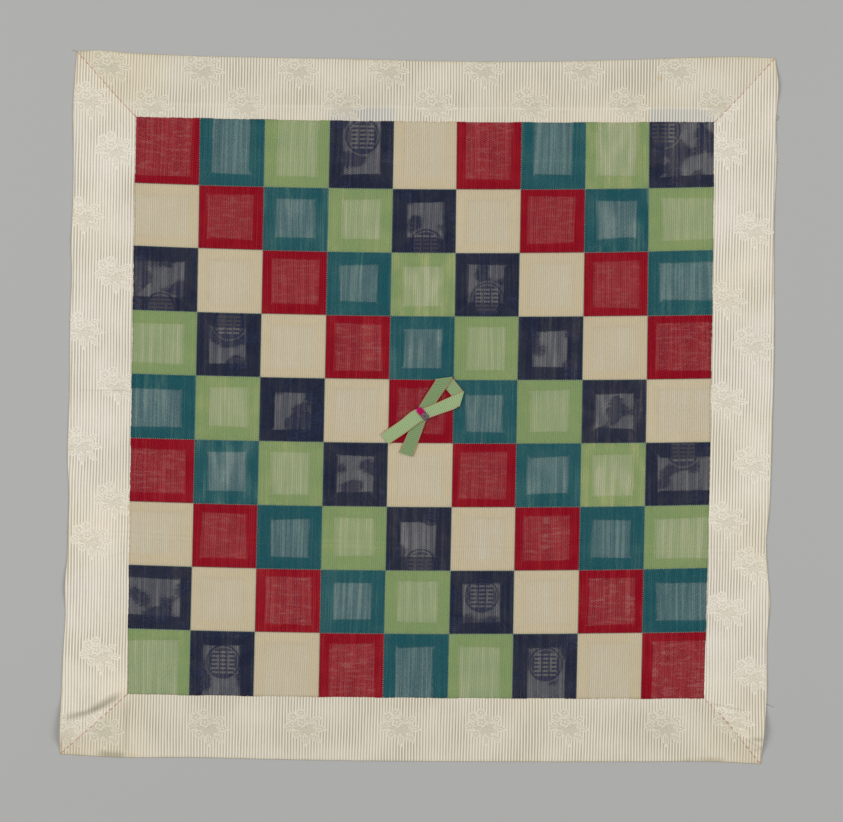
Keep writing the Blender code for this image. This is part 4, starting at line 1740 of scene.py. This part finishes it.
@dataclass
class Ribbon:
    """One doubled strip of green silk, folded back twice into a loop with two tails."""

    plan: ClothPlan
    thickness: float = 0.9
    rest: float = 1.6
    solid_thickness: float = 1.0
    rise: float = 1.3
    step: float = 0.36
    turn_steps: int = 9
    loop_middle: tuple[float, float] = (20.0, 4.0)
    rib_pitch: float = 1.8
    rib_height: float = 0.05
    crown: float = 0.06
    flat_width: float = 0.0115
    # Painted shade: how much darker each stretch between the folds is drawn, from the first stretch to the
    # last.
    shades: tuple[float, ...] = (0.46, 0.26, 0.0)

    def section(self) -> list[tuple[float, float]]:
        """Once round the ribbon: share of its width, and share of its thickness, with rounded edges.

        Returns:
            The two shares at each point.
        """
        top = [(share, 0.5) for share in (0.03, 0.14, 0.26, 0.38, 0.5, 0.62, 0.74, 0.86, 0.97)]
        side = [(0.993, 0.35), (1.0, 0.0), (0.993, -0.35)]
        under = [(share, -height) for share, height in reversed(top)]
        other = [(1 - share, height) for share, height in reversed(side)]
        return under[::-1] + side[::-1] + top[::-1] + [(share, height) for share, height in reversed(other)]

    def stations(self) -> list[tuple[Vector, Vector, Vector]]:
        """The ribbon's two edge points and the way that its face looks, at small steps along it.

        Returns:
            The three vectors at each step.
        """
        low = self.rest + self.solid_thickness / 2
        breaks = [index for index, rung in enumerate(RUNGS) if rung.turn]
        made: list[tuple[Vector, Vector, Vector]] = []
        face_up = 1
        for start, end in zip([0, *breaks], [*breaks, len(RUNGS) - 1]):
            rungs = RUNGS[start:end + 1]
            layers = [rung.layer for rung in rungs]
            if start:
                layers[0] = rungs[1].layer
            lefts = [Vector((*rung.left, low + self.rise * layer)) for rung, layer in zip(rungs, layers)]
            rights = [Vector((*rung.right, low + self.rise * layer)) for rung, layer in zip(rungs, layers)]
            knots = [0.0]
            for index in range(1, len(rungs)):
                middles = [(lefts[i] + rights[i]) / 2 for i in (index - 1, index)]
                knots.append(knots[-1] + (middles[1] - middles[0]).length)
            left, right = SmoothLine(knots, lefts), SmoothLine(knots, rights)
            count = math.ceil(knots[-1] / self.step)
            for number in range(count + 1):
                place = knots[-1] * number / count
                made.append((left.at(place), right.at(place), Vector((0, 0, face_up))))
            turn = RUNGS[end].turn
            if turn:
                made += self.fold(RUNGS[end], low, turn)
                face_up = -face_up
        return made

    def fold(self, rung: Rung, low: float, turn: int) -> list[tuple[Vector, Vector, Vector]]:
        """The places round a fold, without its first and last.

        Args:
            rung: where the ribbon folds back.
            low: height of its lower layer.
            turn: which way it folds.

        Returns:
            The ribbon's two edge points and its normal at each place.
        """
        line = Vector(rung.right) - Vector(rung.left)
        outward = Vector((-line.y, line.x)).normalized()
        if outward.dot(Vector(rung.left) - Vector(self.loop_middle)) < 0:
            outward.negate()
        radius = self.rise / 2
        made = []
        for number in range(1, self.turn_steps):
            angle = math.pi * number / self.turn_steps
            height = low + radius - turn * math.cos(angle) * radius
            shift = outward * math.sin(angle) * radius
            normal = Vector((*outward * math.sin(angle), -turn * math.cos(angle)))
            ends = [Vector((*(Vector(end) + shift), height)) for end in (rung.left, rung.right)]
            made.append((ends[0], ends[1], normal))
        return made

    def build(self) -> bpy.types.Object:
        """Makes the ribbon.

        Returns:
            The piece.
        """
        stations, section = self.stations(), self.section()
        around, count = len(section), len(stations) - 1
        along = [0.0]
        for before, after in zip(stations, stations[1:]):
            along.append(along[-1] + ((after[0] + after[1]) / 2 - (before[0] + before[1]) / 2).length)
        folds = [number for number in range(1, count + 1)
                 if stations[number][2].z * stations[number - 1][2].z < 0]
        shades = [self.shades[sum(number >= fold for fold in folds)] for number in range(count + 1)]
        bm = bmesh.new()
        layer = bm.loops.layers.uv.new("ribbon")
        # The ribbon's wear attribute holds only its painted shade.
        wear = bm.verts.layers.float_vector.new("wear")
        bmesh.ops.create_grid(bm, x_segments=around, y_segments=count, size=1.0)
        lines = grid_lines(bm.verts, around, count)
        for face in bm.faces:
            for loop in face.loops:
                turn, number = lines[loop.vert]
                loop[layer].uv = (section[turn % around][0] * self.flat_width / MM, along[number])
        for vert, (turn, number) in lines.items():
            left, right, normal = stations[number]
            share, height = section[turn % around]
            wave = math.cos(2 * math.pi * along[number] / self.rib_pitch)
            rib = self.rib_height * wave * (abs(height) == 0.5)
            crown = self.crown * math.sin(math.pi * share)
            thick = self.thickness * height + math.copysign(rib + crown, height) * (height != 0)
            vert.co = (blend(left, right, share) + normal * thick) * MM
            vert[wear] = Vector((shades[number], 0.0, 0.0))
        roll_up(bm, lines, around)
        bmesh.ops.holes_fill(bm, edges=[edge for edge in bm.edges if edge.is_boundary])
        bmesh.ops.recalc_face_normals(bm, faces=bm.faces[:])
        piece = finish_piece("ribbon_loop", bm, RIBBON.make(), 70.0)
        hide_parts("ribbon")
        LOG.info("ribbon: %.0f mm long", along[-1])
        return piece


@dataclass
class Tack:
    """A few turns of silk floss, in two colours, that hold the ribbon to the cloth."""

    centre: tuple[float, float] = (3.4, -5.9)
    slope: float = -46.5
    rest: float = 1.6
    over: float = 4.6
    corner: float = 0.9
    spacing: float = 0.6
    reach: float = 6.7
    strands: int = 9
    loop_up: float = 0.75
    loop_radius: float = 0.28

    def build(self) -> list[bpy.types.Object]:
        """Makes the two halves and the loop.

        Returns:
            The three pieces.
        """
        return [
            self.half("tack_magenta", "floss_magenta", MAGENTA, -1, 0.44),
            self.half("tack_mauve", "floss_mauve", MAUVE, 1, 0.42),
            self.loop(),
        ]

    def loop(self) -> bpy.types.Object:
        """Makes the paler thread that lies in a loop on the second half.

        Returns:
            The piece.
        """
        along, across = self.directions(1)
        middle = Vector((*self.centre, self.over + self.loop_up))
        path = smooth_path([middle + along * far + across * off for far, off in FLOSS_LOOP], 4)
        return thread_piece("tack_loop", [(path, [self.loop_radius] * len(path))], PALE_LOOP)

    def directions(self, side: int) -> tuple[Vector, Vector]:
        """The way along the tack to one side of its middle, and the way across it.

        Args:
            side: 1 or -1.

        Returns:
            Both directions.
        """
        slope = math.radians(self.slope)
        along = Vector((math.cos(slope), math.sin(slope), 0.0)) * side
        return along, Vector((-along.y, along.x, 0.0))

    def half(self, node: str, slot: str, finish: ThreadFinish, side: int, radius: float) -> bpy.types.Object:
        """Makes the strands of one half: up out of the cloth beside the ribbon, bent over and across it.

        Args:
            node: the solid that the half stands for.
            slot: a material slot name, which is not used.
            finish: its floss.
            side: -1 for the upper left half, 1 for the lower right one.
            radius: the radius of its strands.

        Returns:
            The piece.
        """
        draw = random.Random(self.strands)
        along, across = self.directions(side)
        threads = []
        for number in range(self.strands):
            share = 2 * number / (self.strands - 1) - 1
            reach = self.reach * (1 - 0.25 * share * share)
            outline = [(reach, self.rest - 0.3), (reach, self.over - self.corner)]
            for turn in (30, 60, 90):
                angle = math.radians(turn)
                outline.append((reach - self.corner * (1 - math.cos(angle)),
                                self.over - self.corner * (1 - math.sin(angle))))
            crown = 0.35 * (1 - share * share)
            outline += [(self.reach * 0.4, self.over + crown + 0.1), (0.6, self.over + crown * 0.6),
                        (-0.1, self.over - 0.4)]
            points = []
            for index, (away, height) in enumerate(outline):
                spread = 0.82 if index in (0, len(outline) - 1) else 1.0
                sideways = share * self.spacing * (self.strands - 1) / 2 * spread + draw.uniform(-0.1, 0.1)
                points.append(Vector((*self.centre, height + draw.uniform(-0.06, 0.06))) + along * away
                              + across * sideways)
            path = smooth_path(points, 3)
            from_end = [min(index, len(path) - 1 - index) for index in range(len(path))]
            radii = [radius * min(1.0, 0.4 + 0.6 * steps / 2) for steps in from_end]
            threads.append((path, radii))
        piece = thread_piece(node + "_floss", threads, finish)
        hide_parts(node)
        return piece


@dataclass
class Sewing:
    """The hand stitches: whipped seams between the squares, and coral stitches on the border."""

    plan: ClothPlan
    whip_pitch: float = 1.9
    coral_pitch: float = 5.4
    coral_specks: int = 73
    border_top: float = 1.4
    ribbon_every: int = 4
    thread_radius: float = 0.12

    def lay(self, name: str, stitches: Sequence[Stitch], material: bpy.types.Material) -> bpy.types.Object:
        """Lays stitches on the cloth: one short plump thread, repeated and then moved stitch by stitch.

        Args:
            name: the piece's name.
            stitches: where and how each one lies.
            material: their thread.

        Returns:
            The piece.
        """
        bm = bmesh.new()
        bmesh.ops.create_icosphere(bm, subdivisions=1, radius=0.5)
        each = len(bm.verts)
        mesh = make_mesh(name, bm)
        pattern = add_object(name, mesh)
        array = pattern.modifiers.new("row of stitches", "ARRAY")
        array.count = len(stitches)
        array.use_relative_offset = False
        row = bmesh.new()
        row.from_object(pattern, bpy.context.evaluated_depsgraph_get())
        bpy.data.objects.remove(pattern, do_unlink=True)
        bpy.data.meshes.remove(mesh)
        for number, vert in enumerate(row.verts):
            stitch = stitches[number // each]
            size = Vector((stitch.length, stitch.width, stitch.width))
            vert.co = (stitch.centre + Matrix.Rotation(stitch.turn, 3, "Z") @ (vert.co * size)) * MM
        return finish_piece(name, row, material)

    def whipping(self) -> bpy.types.Object:
        """Small slanting stitches along every seam between squares.

        Returns:
            The piece.
        """
        plan = self.plan
        draw = random.Random(5)
        stitches = []
        count = int(plan.square * plan.squares / self.whip_pitch)
        for index in range(1, plan.squares):
            for number in range(count):
                share = plan.squares * (number + 0.5) / count
                for upright in (True, False):
                    x, y = plan.point(index, share) if upright else plan.point(share, index)
                    turn = (0.35 if upright else 1.9) + draw.uniform(-0.25, 0.25)
                    height = plan.gauze_top + plan.hem_rise + plan.lift(x, y)
                    stitches.append(Stitch(Vector((x, y, height)), turn, draw.uniform(1.2, 1.6), 0.44))
        return self.lay("seam_whipping", stitches, WHIPPING.make())

    def coral(self) -> bpy.types.Object:
        """Running stitches along the mitres and small specks along the inner seams.

        Returns:
            The piece.
        """
        plan = self.plan
        draw = random.Random(11)
        stitches = []
        for corner in (TOP_LEFT, TOP_RIGHT, BOTTOM_LEFT, BOTTOM_RIGHT):
            inner, outer = Vector(corner.inner), Vector(corner.outer)
            line = outer - inner
            turn = math.atan2(line.y, line.x)
            count = int(line.length / self.coral_pitch)
            for number in range(count):
                share = (number + 0.5 + draw.uniform(-0.12, 0.12)) / count
                bow = corner.bow * math.sin(math.pi * (1 - share) ** 1.5)
                spot = inner + line * share + Vector((-line.y, line.x)).normalized() * bow
                height = self.border_top + plan.lift(spot.x, spot.y) - 0.02
                stitches.append(Stitch(Vector((*spot, height)), turn + draw.uniform(-0.12, 0.12),
                                       draw.uniform(3.8, 5.2), 0.5))
        for side in Side:
            for number in range(self.coral_specks):
                share = plan.squares * (number + 0.5 + draw.uniform(-0.2, 0.2)) / self.coral_specks
                line = {Side.TOP: 0, Side.BOTTOM: plan.squares, Side.LEFT: 0, Side.RIGHT: plan.squares}[side]
                x, y = plan.point(share, line) if side.axis == 0 else plan.point(line, share)
                height = self.border_top - 0.25 + plan.lift(x, y)
                turn = draw.uniform(-0.3, 0.3) + (0 if side.axis == 0 else math.pi / 2)
                stitches.append(Stitch(Vector((x, y, height)), turn, draw.uniform(0.9, 1.6), 0.45))
        return self.lay("coral_stitches", stitches, CORAL.make())

    def ribbon_edges(self, ribbon: Ribbon) -> bpy.types.Object:
        """Fine coral stitches along both edges of the ribbon.

        Args:
            ribbon: the ribbon that they close.

        Returns:
            The piece.
        """
        draw = random.Random(17)
        stitches = []
        stations = ribbon.stations()
        for number in range(3, len(stations) - 3, self.ribbon_every):
            left, right, normal = stations[number]
            after = stations[number + 1]
            for end, following, inward in ((left, after[0], 0.02), (right, after[1], -0.02)):
                way = following - end
                turn = math.atan2(way.y, way.x) + draw.uniform(-0.4, 0.4)
                spot = end + (right - left) * inward + normal * 0.4
                stitches.append(Stitch(spot, turn, draw.uniform(1.0, 1.5), 0.42))
        return self.lay("ribbon_stitches", stitches, EDGING.make())

    def loose_threads(self) -> bpy.types.Object:
        """A few short thread ends that stick out at the edge.

        Returns:
            The piece.
        """
        paths = [smooth_path([Vector(point) for point in points], 6) for points in LOOSE_THREADS]
        threads = [(path, [self.thread_radius] * len(path)) for path in paths]
        return thread_piece("loose_threads", threads, LOOSE, 5)


@dataclass(frozen=True)
class Studio:
    """A plain pale floor, soft light from both sides and a camera that looks straight down."""

    floor_half: float = 4.0
    centre: tuple[float, float] = (0.0023, -0.0035)
    camera_height: float = 2.4
    seen_width: float = 0.7469
    turn: float = 0.8
    sensor: float = 36.0
    lamp_out: float = 2.2
    lamp_height: float = 2.4
    lamp_up: float = 0.25
    lamp_size: float = 1.8
    lamp_power: tuple[float, float] = (52.0, 45.0)
    sky: float = 0.35

    def build(self) -> None:
        """Makes the floor, the camera, the lamps and the sky."""
        bm = bmesh.new()
        bmesh.ops.create_grid(bm, x_segments=8, y_segments=8, size=self.floor_half)
        mesh = make_mesh("floor", bm)
        mesh.materials.append(FloorFinish("floor paper", 0.9).make())
        floor = add_object("floor", mesh)
        lens = bpy.data.cameras.new("camera")
        lens.sensor_width = self.sensor
        lens.lens = self.sensor * self.camera_height / self.seen_width
        lens.clip_end = 50.0
        camera = add_object("camera", lens)
        camera.location = (*self.centre, self.camera_height)
        camera.rotation_euler = (0.0, 0.0, math.radians(self.turn))
        bpy.context.scene.camera = camera
        for name, sign, power in zip(("left lamp", "right lamp"), (-1, 1), self.lamp_power):
            light = bpy.data.lights.new(name, "AREA")
            light.shape = "SQUARE"
            light.size = self.lamp_size
            light.energy = power
            lamp = add_object(name, light)
            lamp.location = (sign * self.lamp_out, self.lamp_up, self.lamp_height)
            lamp.rotation_euler = (-lamp.location).to_track_quat("-Z", "Y").to_euler()
        world = bpy.data.worlds.new("soft sky")
        world.use_nodes = True
        background = world.node_tree.nodes["Background"]
        background.inputs["Color"].default_value = (1.0, 1.0, 1.0, 1.0)
        background.inputs["Strength"].default_value = self.sky
        bpy.context.scene.world = world
        bpy.context.scene.view_settings.view_transform = "Standard"


def main() -> None:
    """Builds the studio and every piece of the cloth."""
    logging.basicConfig(level=logging.INFO, format="%(message)s")
    plan = ClothPlan()
    Studio().build()
    squares = Patchwork(plan).build()
    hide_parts("patchwork_panel")
    LOG.info("patchwork: %s", ", ".join(piece.name for piece in squares))
    Border(plan).build()
    ribbon = Ribbon(plan)
    LOG.info("made %s", ribbon.build().name)
    for piece in Tack().build():
        LOG.info("made %s", piece.name)
    sewing = Sewing(plan)
    for piece in (sewing.whipping(), sewing.coral(), sewing.ribbon_edges(ribbon), sewing.loose_threads()):
        LOG.info("made %s: %d faces", piece.name, len(piece.data.polygons))


if __name__ == "__main__":
    main()
